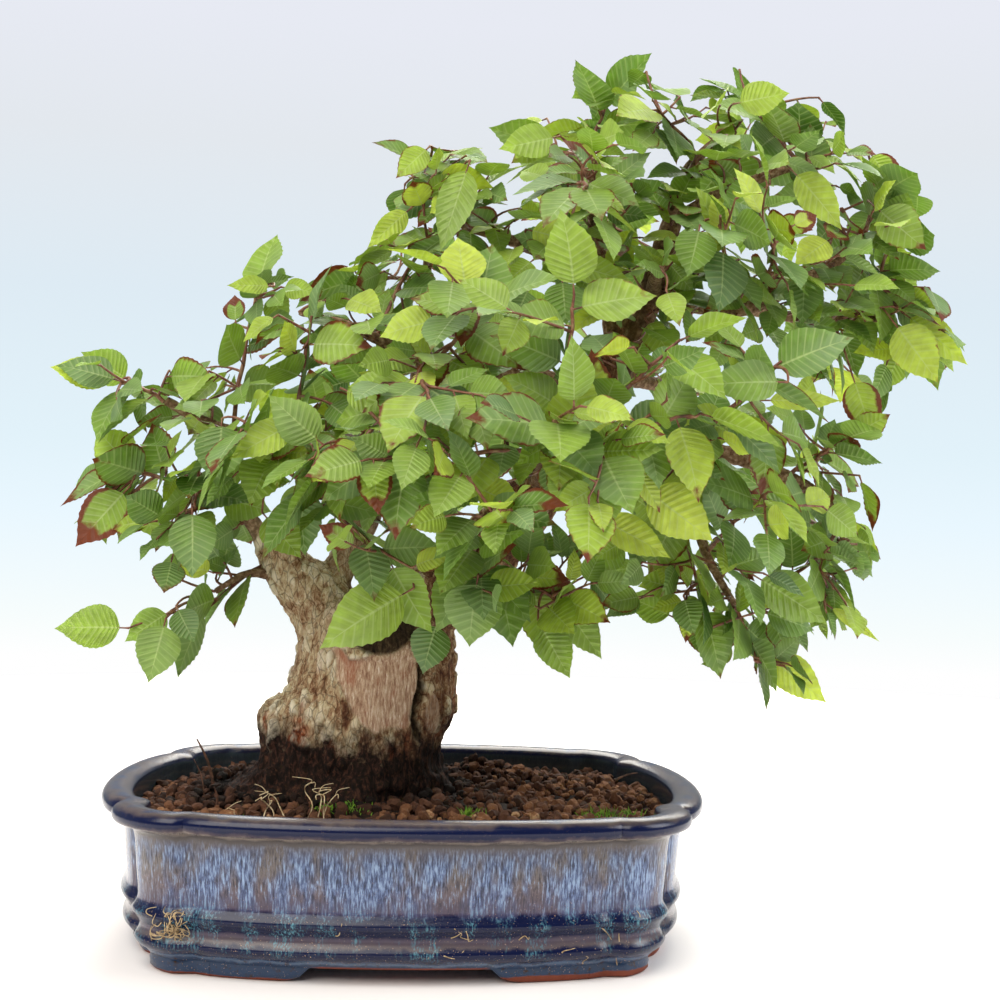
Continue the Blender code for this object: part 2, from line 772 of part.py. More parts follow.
def limb_stations():
    """Points along the thinner limbs: place and radius."""
    stations = []
    for path in LIMBS.values():
        for first, second in zip(path, path[1:]):
            for step in range(LIMB_STATIONS):
                share = step / LIMB_STATIONS
                place = Vector(first[:3]).lerp(Vector(second[:3]), share)
                radius = first[3] + (second[3] - first[3]) * share
                if radius < TWIG_BEARING_RADIUS:
                    stations.append((place, radius))
        stations.append((Vector(path[-1][:3]), path[-1][3]))
    return stations


def leaf_solid(base, along, up, length, half_width, grow=0.0):
    """Toothed blade, thick at the rib, arched down and folded up a little."""
    across = up.cross(along).normalized()
    up = along.cross(across).normalized()

    def place(s, w, lift=0.0):
        drop = -LEAF_DROOP * length * s * s
        fold = LEAF_FOLD * abs(w)
        return base + along * (s * length) + across * w + up * (drop + fold + lift)

    wide = half_width + grow
    points = [place(0.0, 0.0)]
    points += [place(s, w * wide) for s, w in LEAF_SIDE]
    points.append(place(1.0 + grow / length, 0.0))
    points += [place(s, -w * wide) for s, w in reversed(LEAF_SIDE)]
    count = len(points)
    rib = LEAF_RIB + grow
    points.append(place(LEAF_RIB_PEAK, 0.0, rib))
    points.append(place(LEAF_RIB_PEAK, 0.0, -rib))
    faces = []
    for i in range(count):
        j = (i + 1) % count
        faces.append((i, j, count))
        faces.append((j, i, count + 1))
    return points, faces


class Obstacle:
    """A placed piece with a ball round it, for quick tests."""

    def __init__(self, points, faces):
        low = Vector((min(p.x for p in points), min(p.y for p in points), min(p.z for p in points)))
        high = Vector((max(p.x for p in points), max(p.y for p in points), max(p.z for p in points)))
        self.middle = (low + high) / 2.0
        self.reach = (high - low).length / 2.0
        self.tree = BVHTree.FromPolygons([tuple(p) for p in points], faces)

    def meets(self, other):
        if (self.middle - other.middle).length > self.reach + other.reach:
            return False
        return bool(self.tree.overlap(other.tree))


def obstacle_of(piece):
    points = [v.co.copy() for v in piece.data.vertices]
    faces = [tuple(p.vertices) for p in piece.data.polygons]
    return Obstacle(points, faces)


def twig_path(start, middle, end, steps):
    """Curve from start to end, bent towards the middle point."""
    places = []
    for step in range(steps + 1):
        t = step / steps
        place = start * (1 - t) ** 2 + middle * (2 * t * (1 - t)) + end * t ** 2
        places.append(place)
    return places


def twig_tube(places, grow=0.0):
    last = len(places) - 1
    path = []
    for i, place in enumerate(places):
        radius = TWIG_BASE_RADIUS + (TWIG_TIP_RADIUS - TWIG_BASE_RADIUS) * i / last
        path.append((*place, radius + grow))
    return path


def tube_shape(path, sides):
    tube = make_tube("probe", path, sides, 1)
    points = [v.co.copy() for v in tube.data.vertices]
    faces = [tuple(p.vertices) for p in tube.data.polygons]
    mesh = tube.data
    bpy.data.objects.remove(tube, do_unlink=True)
    bpy.data.meshes.remove(mesh)
    return points, faces


def find_twig(end, stations, trunk_tree, obstacles, draw):
    """Route of a twig from the bark of a limb to its end, clear of the rest."""
    nearest, furthest = TWIG_REACH
    ranked = sorted(stations, key=lambda s: (s[0] - end).length)
    ranked = [s for s in ranked if (s[0] - end).length > nearest][:24]
    for attempt in range(TWIG_TRIES):
        place, radius = ranked[attempt % min(len(ranked), 3 + attempt // 5)]
        target = end + Vector([draw.uniform(-1, 1) for _ in range(3)]) * 0.0002 * attempt
        if (target - place).length > furthest:
            target = place + (target - place).normalized() * furthest
        toward = (target - place).normalized()
        bend = Vector([draw.uniform(-1, 1) for _ in range(3)]) * TWIG_BEND
        outer = place + toward * (radius * 2.5 + 0.004)
        hit, _, _, _ = trunk_tree.ray_cast(outer, -toward)
        if hit is None:
            continue
        start = hit + toward * CLEARANCE * 1.5
        middle = (start + target) / 2.0 + bend + Vector((0, 0, TWIG_RISE))
        middle = start + toward * ((middle - start).dot(toward)) + (middle - start) * 0.25
        places = twig_path(start, middle, target, TWIG_SEGMENTS)
        points, faces = tube_shape(twig_tube(places[1:], SAFE_MARGIN), TWIG_SIDES)
        if any(o.meets(Obstacle(points, faces)) for o in obstacles):
            continue
        points, faces = tube_shape(twig_tube(places), TWIG_SIDES)
        if any(o.meets(Obstacle(points, faces)) for o in obstacles):
            continue
        return places
    return None


def leaf_frame(end, tangent, side, draw):
    """Direction and upper face of a leaf that grows to one side of its twig."""
    outward = end - CROWN_MIDDLE
    outward.z *= 0.4
    outward.normalize()
    noise = Vector((draw.uniform(-0.3, 0.3), draw.uniform(-0.8, 0.8), draw.uniform(-0.3, 0.3)))
    face = (Vector((0, 0, 0.55)) + outward * 0.70 + noise).normalized()
    across = face.cross(tangent)
    if across.length < 0.2:
        across = tangent.orthogonal()
    across.normalize()
    angle = math.radians(draw.uniform(*LEAF_ANGLE)) * side
    along = tangent * math.cos(angle) + across * math.sin(angle)
    along.z -= draw.uniform(*LEAF_HANG)
    along.normalize()
    if abs(face.dot(along)) > 0.95:
        face = along.orthogonal()
    return along, face


def place_leaf(place, end, tangent, side, radius, taken, obstacles, draw):
    for attempt in range(LEAF_TRIES):
        length = draw.uniform(*LEAF_LENGTH) * (1.0 - LEAF_SHRINK * attempt)
        half_width = length * draw.uniform(*LEAF_ASPECT)
        along, face = leaf_frame(end, tangent, side, draw)
        base = place - along * radius * LEAF_SINK
        points, faces = leaf_solid(base, along, face, length, half_width)
        fat_base = place + along * (radius * 1.6 + SAFE_MARGIN)
        fat = leaf_solid(fat_base, along, face, length * 0.97, half_width, SAFE_MARGIN)
        probe = Obstacle(*fat)
        whole = Obstacle(points, faces)
        if any(o.meets(probe) or o.meets(whole) for o in obstacles):
            continue
        if any(o.meets(probe) for o in taken):
            continue
        return points, faces, probe
    return None


def make_spray(name, end, stations, trunk_tree, obstacles, draw, material):
    """A twig with leaves on alternate sides and one at its end."""
    places = find_twig(end, stations, trunk_tree, obstacles, draw)
    if places is None:
        return None
    path = twig_tube(places)
    twig = make_tube(name, path, TWIG_SIDES, 1)
    twig.data.materials.append(material)
    twig_shape = tube_shape(path, TWIG_SIDES)
    taken = [Obstacle(*twig_shape)]
    leaves = []
    side = draw.choice((-1, 1))
    reach = sum((b - a).length for a, b in zip(places, places[1:]))
    count = max(LEAF_COUNT[0], min(LEAF_COUNT[1], round(reach / LEAF_SPACING)))
    for step in range(count):
        share = 0.995 if step == count - 1 else LEAF_FIRST + (1.0 - LEAF_FIRST) * step / (count - 1)
        spot = share * (len(places) - 1)
        first = min(int(spot), len(places) - 2)
        place = places[first].lerp(places[first + 1], spot - first)
        tangent = (places[first + 1] - places[first]).normalized()
        radius = path[first][3]
        side = -side
        turn = side if share < 0.99 else side * 0.15
        found = place_leaf(place, end, tangent, turn, radius, taken, obstacles, draw)
        if found:
            leaves.append(make_object(name + "_leaf", found[0], found[1]))
            face_outwards(leaves[-1])
            taken.append(found[2])
    join_pieces(twig, leaves)
    clean_mesh(twig)
    twig["leaf_count"] = len(leaves)
    closed = keep_main_shell(twig)
    shape = obstacle_of(twig)
    if closed and not any(o.meets(shape) for o in obstacles):
        return twig
    bpy.data.objects.remove(twig, do_unlink=True)
    return None


def move_to_base(pieces):
    """Put the origin at the bottom centre of the whole part's bounding box."""
    low = Vector((math.inf,) * 3)
    high = Vector((-math.inf,) * 3)
    for piece in pieces:
        for vertex in piece.data.vertices:
            for axis in range(3):
                low[axis] = min(low[axis], vertex.co[axis])
                high[axis] = max(high[axis], vertex.co[axis])
    shift = Vector((-(low.x + high.x) / 2.0, -(low.y + high.y) / 2.0, -low.z))
    for piece in pieces:
        piece.data.transform(Matrix.Translation(shift))
        piece.data.update()


def main():
    clear_scene()
    pot = make_pot()
    plastic = make_material("mesh_plastic")
    meshes = [make_drain_mesh("drain_mesh_left", -DRAIN_X, plastic)]
    meshes.append(make_drain_mesh("drain_mesh_right", DRAIN_X, plastic))
    trunk = make_trunk()
    soil = make_soil()
    draw = random.Random(SEED)
    leaf_material = make_material("leaf_green")
    stations = limb_stations()
    obstacles = [obstacle_of(piece) for piece in (pot, soil, trunk)]
    trunk_tree = obstacles[-1].tree
    sprays = []
    for end in TWIG_ENDS:
        name = "leaf_spray_%02d" % (len(sprays) + 1)
        for _ in range(SPRAY_TRIES):
            spray = make_spray(name, Vector(end), stations, trunk_tree, obstacles, draw, leaf_material)
            if spray:
                sprays.append(spray)
                obstacles.append(obstacle_of(spray))
                break
    move_to_base([pot, trunk, soil] + meshes + sprays)


main()
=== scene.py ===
"""Korean hornbeam bonsai in a glazed oval pot with notched corners.

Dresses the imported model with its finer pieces, finishes, floor, light and camera.
Sizes are in metres. Shapes are laid out about the middle of the pot's footprint,
with the pot's front towards -Y, and are moved into the model's frame when done.
"""

import math
import random

import bmesh
import bpy
import numpy as np
from mathutils import Matrix, Vector, noise
from mathutils.bvhtree import BVHTree


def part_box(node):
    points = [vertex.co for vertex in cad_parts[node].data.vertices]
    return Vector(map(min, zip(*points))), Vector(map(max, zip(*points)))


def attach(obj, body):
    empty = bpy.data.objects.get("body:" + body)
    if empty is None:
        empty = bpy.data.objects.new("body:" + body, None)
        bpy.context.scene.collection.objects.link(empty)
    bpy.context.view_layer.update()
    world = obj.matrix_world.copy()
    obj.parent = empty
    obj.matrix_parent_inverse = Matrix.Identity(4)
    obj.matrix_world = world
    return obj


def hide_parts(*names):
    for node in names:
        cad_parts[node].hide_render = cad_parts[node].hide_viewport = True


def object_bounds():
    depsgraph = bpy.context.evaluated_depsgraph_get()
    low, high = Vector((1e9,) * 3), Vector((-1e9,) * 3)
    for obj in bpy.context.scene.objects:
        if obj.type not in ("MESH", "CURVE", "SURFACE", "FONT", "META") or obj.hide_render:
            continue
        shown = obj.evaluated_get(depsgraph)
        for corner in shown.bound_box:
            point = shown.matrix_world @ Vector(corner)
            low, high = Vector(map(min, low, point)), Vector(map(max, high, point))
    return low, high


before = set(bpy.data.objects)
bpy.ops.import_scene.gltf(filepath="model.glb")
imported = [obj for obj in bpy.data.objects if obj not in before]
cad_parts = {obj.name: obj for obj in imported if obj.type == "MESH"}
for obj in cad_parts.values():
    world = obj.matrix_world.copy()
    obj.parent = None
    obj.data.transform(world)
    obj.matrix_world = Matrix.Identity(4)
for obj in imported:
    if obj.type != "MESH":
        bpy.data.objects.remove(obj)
MODEL_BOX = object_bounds()
POT_LOW, POT_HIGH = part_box("pot")
POT_MIDDLE = Vector(((POT_LOW.x + POT_HIGH.x) / 2.0, (POT_LOW.y + POT_HIGH.y) / 2.0, 0.0))

bl_info = {
    "name": "Korean Hornbeam Bonsai",
    "version": (1, 0, 0),
    "blender": (4, 5, 0),
    "location": "View3D > Sidebar > Bonsai",
    "description": "Builds a potted hornbeam bonsai piece by piece",
    "category": "Add Mesh",
}

# Camera: heading, height angle and roll in degrees, distance, aim point and lens
CAMERA_HEADING = -3.1
CAMERA_HEIGHT_ANGLE = -1.0
CAMERA_ROLL = 1.33
CAMERA_DISTANCE = 0.895
CAMERA_AIM = Vector((0.051, 0.0, 0.247))
CAMERA_LENS = 54.94
CAMERA_SENSOR = 36.0
# The picture's side in the units of every place seen in it, and how many of them
# a span of one focal distance covers
PICTURE = 1000.0
FOCUS = CAMERA_LENS / CAMERA_SENSOR * PICTURE

# Pot wall from the outer bottom edge, over the lip, to the inner floor: height
# and distance in from the rim's widest line
POT_WALL = (
    (0.0073, 0.0215), (0.0104, 0.0185), (0.0130, 0.0150), (0.0164, 0.0130),
    (0.0198, 0.0148), (0.0231, 0.0158), (0.0268, 0.0138), (0.0304, 0.0115),
    (0.0341, 0.0133), (0.0385, 0.0145), (0.0540, 0.0132), (0.0692, 0.0118),
    (0.0736, 0.0080), (0.0757, 0.0015), (0.0799, 0.0000), (0.0834, 0.0025),
    (0.0848, 0.0085), (0.0832, 0.0155), (0.0796, 0.0175), (0.0686, 0.0178),
    (0.0430, 0.0200), (0.0187, 0.0225), (0.0151, 0.0265),
)
INNER_INSET = 0.0167
INNER_TOP = 0.0810
WALL_STEPS = 4
RIM_STEPS = (44, 16, 56)
LOBE_POWERS = (0.60, 0.60, 0.72)
FOOT_REACH = (0.045, 0.030)
FOOT_INSETS = (0.0219, 0.0213, 0.0217, 0.0229, 0.0343, 0.0355, 0.0355)
FLOOR_UNDERSIDE = 0.0073
DRAIN_PLACE = 0.070
DRAIN_RADIUS = 0.009

# Trunk column: height, centre x, centre y, half width, half depth
TRUNK_SECTIONS = (
    (0.0660, -0.0440, 0.002, 0.0700, 0.0600),
    (0.0781, -0.0435, 0.002, 0.0645, 0.0551), (0.0866, -0.0356, 0.002, 0.0581, 0.0510),
    (0.0954, -0.0326, 0.002, 0.0522, 0.0478), (0.1070, -0.0320, 0.002, 0.0531, 0.0458),
    (0.1216, -0.0289, 0.002, 0.0563, 0.0447), (0.1362, -0.0217, 0.002, 0.0493, 0.0437),
    (0.1503, -0.0180, 0.002, 0.0457, 0.0426), (0.1648, -0.0178, 0.002, 0.0440, 0.0416),
    (0.1788, -0.0199, 0.002, 0.0416, 0.0374), (0.1880, -0.0230, 0.002, 0.0334, 0.0291),
    (0.1927, -0.0249, 0.002, 0.0188, 0.0166),
)
LIMBS = {
    "left_stub": (
        (-0.038, 0.004, 0.158, 0.025), (-0.051, -0.002, 0.184, 0.0203),
        (-0.07, -0.005, 0.203, 0.0151), (-0.078, -0.006, 0.219, 0.013),
    ),
    "leader": (
        (-0.015, 0.0, 0.174, 0.0281), (0.008, 0.0, 0.188, 0.025), (0.034, 0.004, 0.208, 0.0208),
        (0.061, 0.008, 0.236, 0.0177), (0.084, 0.01, 0.269, 0.0151), (0.104, 0.008, 0.301, 0.013),
        (0.116, 0.006, 0.326, 0.0114), (0.122, 0.005, 0.341, 0.0104),
    ),
    "middle": (
        (-0.051, 0.0, 0.172, 0.0166), (-0.044, 0.0, 0.199, 0.0104), (-0.036, 0.004, 0.217, 0.0088),
        (-0.027, 0.006, 0.233, 0.0078), (-0.017, 0.008, 0.257, 0.0068),
        (-0.008, 0.0, 0.281, 0.0057), (0.0, -0.005, 0.307, 0.005), (0.002, 0.0, 0.334, 0.0042),
        (0.004, 0.005, 0.364, 0.0033), (0.006, 0.005, 0.399, 0.0025),
    ),
    "left": (
        (-0.015, 0.008, 0.259, 0.0057), (-0.049, 0.0, 0.271, 0.0052),
        (-0.083, -0.005, 0.278, 0.0045), (-0.117, -0.01, 0.286, 0.0036),
        (-0.142, -0.015, 0.299, 0.0027),
    ),
    "left_front": (
        (-0.049, 0.0, 0.271, 0.0042), (-0.063, -0.04, 0.271, 0.0035),
        (-0.076, -0.08, 0.266, 0.0027),
    ),
    "left_low": (
        (-0.077, -0.006, 0.208, 0.0073), (-0.093, -0.01, 0.232, 0.0047),
        (-0.109, -0.02, 0.248, 0.0033), (-0.13, -0.03, 0.253, 0.0025),
    ),
    "low_twig": (
        (-0.081, -0.01, 0.201, 0.0036), (-0.094, -0.02, 0.201, 0.0023),
        (-0.11, -0.025, 0.191, 0.0018),
    ),
    "left_back": (
        (-0.049, 0.0, 0.271, 0.0042), (-0.058, 0.05, 0.288, 0.0033), (-0.068, 0.09, 0.303, 0.0025),
    ),
    "fork_left": (
        (0.12, 0.006, 0.337, 0.0083), (0.115, 0.006, 0.362, 0.0068), (0.11, 0.008, 0.38, 0.0057),
        (0.105, 0.008, 0.406, 0.0047), (0.101, 0.006, 0.433, 0.0035), (0.098, 0.0, 0.455, 0.0026),
    ),
    "fork_right": (
        (0.119, 0.005, 0.334, 0.0088), (0.132, 0.0, 0.357, 0.0085), (0.139, -0.003, 0.376, 0.0079),
        (0.144, -0.003, 0.397, 0.0073), (0.149, 0.0, 0.414, 0.0062), (0.153, 0.004, 0.434, 0.0047),
        (0.165, 0.0, 0.454, 0.0034), (0.185, -0.004, 0.469, 0.0025),
    ),
    "mid_left": (
        (0.109, 0.008, 0.313, 0.0073), (0.085, 0.0, 0.317, 0.0057), (0.049, -0.012, 0.321, 0.005),
        (0.022, -0.02, 0.322, 0.0044), (-0.009, -0.03, 0.33, 0.0036),
        (-0.04, -0.035, 0.343, 0.0028), (-0.066, -0.035, 0.349, 0.0021),
    ),
    "up_left": (
        (0.11, 0.008, 0.377, 0.0047), (0.083, 0.0, 0.388, 0.004), (0.053, -0.01, 0.398, 0.0033),
        (0.026, -0.01, 0.406, 0.0027), (0.012, -0.01, 0.417, 0.0021),
    ),
    "right": (
        (0.137, -0.002, 0.367, 0.0062), (0.163, -0.02, 0.362, 0.0054), (0.187, -0.03, 0.36, 0.005),
        (0.213, -0.03, 0.372, 0.0042), (0.242, -0.02, 0.39, 0.0033), (0.261, -0.015, 0.407, 0.0025),
    ),
    "right_end": (
        (0.187, -0.03, 0.36, 0.004), (0.224, -0.01, 0.358, 0.0033), (0.257, 0.0, 0.359, 0.0027),
        (0.278, 0.0, 0.361, 0.0021),
    ),
    "right_low": (
        (0.094, 0.009, 0.284, 0.0083), (0.132, -0.01, 0.277, 0.0062), (0.176, -0.02, 0.277, 0.0052),
        (0.214, -0.02, 0.265, 0.0042), (0.244, -0.01, 0.249, 0.0031), (0.257, 0.0, 0.225, 0.0023),
    ),
    "right_hang": (
        (0.154, -0.015, 0.277, 0.0042), (0.161, -0.03, 0.249, 0.0035),
        (0.165, -0.04, 0.221, 0.0029), (0.182, -0.045, 0.19, 0.0021),
    ),
    "front_centre": (
        (0.075, 0.008, 0.257, 0.0083), (0.073, -0.05, 0.263, 0.0052), (0.071, -0.1, 0.269, 0.0037),
        (0.073, -0.14, 0.27, 0.0025),
    ),
    "front_low": (
        (0.034, 0.0, 0.209, 0.0073), (0.03, -0.05, 0.213, 0.0042), (0.031, -0.09, 0.216, 0.0027),
    ),
    "front_right": (
        (0.127, -0.007, 0.276, 0.0045), (0.135, -0.06, 0.273, 0.0037),
        (0.138, -0.11, 0.268, 0.0027),
    ),
    "front_high": (
        (0.139, -0.003, 0.373, 0.0052), (0.132, -0.05, 0.371, 0.0037), (0.127, -0.1, 0.368, 0.0026),
    ),
    "front_left": (
        (0.022, -0.02, 0.322, 0.0037), (0.013, -0.07, 0.315, 0.0031), (0.002, -0.12, 0.305, 0.0023),
    ),
    "back_centre": (
        (0.078, 0.01, 0.26, 0.0083), (0.079, 0.06, 0.28, 0.0052), (0.079, 0.11, 0.299, 0.0033),
        (0.078, 0.14, 0.311, 0.0023),
    ),
    "back_high": (
        (0.139, 0.0, 0.376, 0.0062), (0.157, 0.05, 0.391, 0.0042), (0.178, 0.1, 0.403, 0.0027),
    ),
    "back_right": (
        (0.117, 0.01, 0.323, 0.0062), (0.154, 0.06, 0.323, 0.0042), (0.202, 0.11, 0.322, 0.0027),
    ),
    "back_up": (
        (0.111, 0.01, 0.38, 0.0052), (0.094, 0.05, 0.401, 0.0035), (0.071, 0.09, 0.421, 0.0025),
    ),
    "back_left": (
        (-0.015, 0.01, 0.263, 0.0052), (-0.009, 0.06, 0.29, 0.0037), (0.003, 0.11, 0.313, 0.0025),
    ),
    "top_front": (
        (0.105, 0.008, 0.406, 0.0037), (0.097, -0.03, 0.419, 0.0031), (0.089, -0.07, 0.421, 0.0023),
    ),
    "top_right": (
        (0.149, 0.0, 0.414, 0.0047), (0.174, -0.02, 0.427, 0.0037), (0.2, -0.03, 0.437, 0.0029),
        (0.229, -0.02, 0.449, 0.0021),
    ),
}
# Where limbs were once cut: left hollow, and how the front of the trunk is marked
SCAR_MIDDLE = (-0.0166, 0.1766)
SCAR_HALF = (0.0225, 0.0180)
PANEL_CORNERS = (
    (-0.0450, 0.1619), (-0.0403, 0.1547), (-0.0410, 0.1455), (-0.0343, 0.1337), (-0.0304, 0.1263),
    (-0.0238, 0.1191), (-0.0172, 0.1146), (-0.0109, 0.1184), (0.0002, 0.1167), (0.0027, 0.1268),
    (0.0060, 0.1416), (0.0058, 0.1490), (-0.0010, 0.1655), (-0.0074, 0.1654), (-0.0165, 0.1607),
    (-0.0265, 0.1563), (-0.0329, 0.1557), (-0.0386, 0.1611),
)
CRACK_LINE = ((0.0086, 0.1512), (0.0089, 0.1389), (0.0063, 0.1305), (0.0043, 0.1221), (0.0073, 0.1121))
OVAL_SCAR = (0.0140, 0.1253)
OVAL_HALF = (0.0042, 0.0120)
# Old knots: middle, height and width of the swelling
KNOTS = (((-0.0770, -0.008, 0.1225), 0.0034, 0.0085), ((-0.0585, -0.006, 0.1830), 0.0030, 0.0080))
# Corners and squareness of the column's sections, its top, its root swellings, steps
# from knot to knot of a limb, and faces kept once the bark is carved
COLUMN_SIDES = 96
COLUMN_POWER = 2.3
COLUMN_TOP = 0.196
ROOT_COUNT = 5
LIMB_STEPS = 8
TRUNK_FACES = 160000.0

# Leaf shape as the model has it: how far a blade arches and folds, where its rib is
# highest and how thick it is there, then its pairs of side veins, the rows of faces
# that they need, and half the thickness of the fine blade
LEAF_DROOP = 0.10
LEAF_FOLD = 0.16
RIB_PEAK = 0.34
RIB_HALF = 0.0007
VEINS = 10
VEIN_ROWS = 2 * VEINS + 1
LEAF_HALF_THICK = 0.00016
# Half outline of a blade: share of the length, share of the half width
BLADE_OUTLINE = (
    (0.0, 0.0), (0.03, 0.30), (0.08, 0.58), (0.16, 0.82), (0.26, 0.96), (0.36, 1.0), (0.48, 0.95),
    (0.60, 0.81), (0.72, 0.60), (0.81, 0.38), (0.88, 0.20), (0.94, 0.08), (1.0, 0.0),
)

# Outline of the crown as the camera sees it, in thousandths of the picture
CROWN_EDGE = (
    (50, 362), (90, 340), (125, 372), (190, 366), (250, 352), (236, 338), (262, 312), (226, 286),
    (262, 270), (305, 268), (330, 292), (345, 262), (372, 255), (364, 240), (385, 206), (425, 196),
    (393, 170), (408, 140), (450, 134), (462, 152), (500, 132), (552, 126), (572, 108), (556, 88),
    (592, 78), (650, 78), (700, 92), (735, 78), (764, 74), (794, 92), (800, 118), (846, 114),
    (872, 142), (904, 160), (908, 195), (930, 226), (924, 252), (905, 256), (934, 300), (962, 328),
    (974, 362), (942, 384), (896, 380), (890, 420), (874, 442), (836, 440), (834, 462), (858, 488),
    (862, 518), (890, 536), (882, 562), (862, 582), (836, 600), (884, 634), (884, 644), (832, 642),
    (808, 652), (834, 702), (764, 676), (736, 652), (706, 674), (684, 640), (640, 600), (604, 628),
    (574, 650), (538, 634), (505, 632), (500, 585), (452, 572), (384, 545), (300, 528), (252, 548),
    (226, 566), (200, 578), (186, 560), (141, 568), (128, 536), (84, 550), (70, 520), (68, 480),
    (96, 452), (118, 392),
)
# Leaves that stand out: stalk and tip as the camera sees them in thousandths, how
# far back they hang, half width over length, shade, and dryness of the edge
MARKED_LEAVES = (
    (120, 380, 50, 364, -0.015, 0.27, 0.86, 0.0), (274, 286, 227, 285, -0.012, 0.22, 0.74, 0.0),
    (129, 628, 54, 625, -0.040, 0.33, 0.60, 0.0), (172, 610, 124, 641, -0.035, 0.30, 0.52, 0.0),
    (166, 618, 149, 683, -0.045, 0.34, 0.55, 0.0), (176, 606, 194, 642, -0.030, 0.36, 0.18, 0.0),
    (172, 558, 165, 593, -0.045, 0.46, 0.30, 0.5), (414, 588, 316, 643, -0.100, 0.29, 0.66, 0.0),
    (438, 620, 420, 673, -0.085, 0.37, 0.14, 0.0), (478, 576, 466, 646, -0.110, 0.42, 0.50, 0.0),
    (538, 620, 569, 679, -0.085, 0.29, 0.56, 0.0), (641, 486, 714, 541, -0.140, 0.31, 0.95, 0.0),
    (594, 516, 673, 554, -0.135, 0.22, 0.90, 0.0), (736, 424, 671, 431, -0.100, 0.36, 0.78, 0.0),
    (474, 486, 522, 508, -0.130, 0.34, 0.88, 0.0), (488, 387, 549, 380, -0.120, 0.17, 1.0, 0.0),
    (454, 468, 408, 526, -0.120, 0.30, 0.84, 0.0), (761, 652, 829, 701, -0.050, 0.24, 0.92, 0.0),
    (826, 604, 881, 641, -0.030, 0.09, 0.90, 0.0), (700, 620, 706, 657, -0.030, 0.40, 0.28, 0.6),
    (733, 104, 790, 92, -0.020, 0.32, 0.72, 0.0), (868, 150, 903, 198, -0.015, 0.26, 0.70, 0.8),
    (874, 206, 926, 250, -0.015, 0.32, 0.58, 0.3), (430, 146, 396, 177, -0.035, 0.30, 0.72, 0.4),
    (412, 207, 367, 247, -0.030, 0.20, 0.80, 0.0), (892, 320, 940, 382, -0.030, 0.30, 0.84, 0.2),
    (902, 312, 971, 362, -0.015, 0.20, 0.86, 0.0), (852, 374, 874, 440, -0.030, 0.27, 0.74, 0.8),
    (222, 418, 218, 486, -0.085, 0.37, 0.36, 0.0), (298, 420, 230, 460, -0.095, 0.24, 0.76, 0.0),
    (262, 512, 300, 558, -0.080, 0.33, 0.60, 0.0), (192, 506, 194, 577, -0.080, 0.33, 0.34, 0.0),
    (470, 405, 438, 458, -0.125, 0.42, 0.32, 0.0), (530, 286, 508, 331, -0.090, 0.38, 0.30, 0.0),
    (562, 277, 566, 324, -0.090, 0.40, 0.34, 0.0), (788, 382, 704, 380, -0.110, 0.26, 0.48, 0.0),
    (752, 574, 830, 621, -0.060, 0.27, 0.58, 0.0), (770, 184, 722, 216, -0.070, 0.36, 0.40, 0.0),
    (832, 238, 795, 264, -0.060, 0.36, 0.90, 0.0), (790, 168, 846, 226, -0.055, 0.24, 0.78, 0.0),
    (806, 270, 800, 324, -0.060, 0.34, 0.30, 0.0), (340, 388, 400, 412, -0.100, 0.26, 0.66, 0.0),
    (470, 160, 440, 250, -0.060, 0.20, 0.62, 0.0), (560, 136, 500, 150, -0.050, 0.30, 0.66, 0.0),
    (130, 486, 74, 546, -0.040, 0.30, 0.56, 0.9), (560, 262, 634, 280, -0.090, 0.20, 0.70, 0.0),
    (700, 225, 690, 276, -0.085, 0.38, 0.42, 0.0), (760, 400, 842, 402, -0.090, 0.14, 0.86, 0.0),
    (505, 440, 500, 476, -0.135, 0.44, 0.46, 0.0), (598, 480, 640, 500, -0.130, 0.34, 0.52, 0.0),
)
# Gaps in the crown where the leader and the sky show
OPEN_PLACES = (
    ((632, 272), (672, 282), (662, 330), (646, 396), (596, 402), (600, 372), (622, 340)),
    ((336, 545), (420, 545), (420, 600), (330, 600)),
)

# Cells along a side of the picture when the crown's fullness is judged
CELLS = 56
CROWN_MIDDLE = np.array((0.050, 0.0, 0.290))
# Lowest place for a leaf tip, thickest limb that sprouts, thickest limb that is
# veiled and how high it has to be, and the longest shoot
LOWEST_TIP = 0.118
THIN_LIMB = 0.0090
BARE_LIMB = 0.0086
VEIL_FROM = 0.245
LONGEST_SHOOT = 0.075

# Rootlets: foot x and y, lean and height
ROOTLETS = (
    (-0.076, -0.078, 0.006, 0.012), (-0.070, -0.082, -0.009, 0.015), (-0.061, -0.080, -0.016, 0.016),
    (-0.053, -0.078, 0.003, 0.020), (-0.047, -0.080, 0.006, 0.017), (-0.042, -0.082, -0.005, 0.015),
    (-0.044, -0.074, 0.010, 0.013), (-0.080, -0.084, -0.012, 0.005), (-0.098, -0.070, 0.005, 0.006),
)
# Moss and grass: middle x and y, spread, blades and height
TUFTS = (
    (-0.038, -0.064, 0.0065, 110, 0.0024), (-0.028, -0.062, 0.0050, 70, 0.0022),
    (-0.090, -0.074, 0.0030, 14, 0.0030), (0.034, -0.068, 0.0022, 24, 0.0066),
    (0.039, -0.064, 0.0020, 12, 0.0048), (0.104, -0.052, 0.0055, 34, 0.0056),
    (0.116, -0.046, 0.0055, 34, 0.0056), (0.127, -0.040, 0.0040, 20, 0.0050),
    (0.005, -0.090, 0.0060, 20, 0.0022),
)
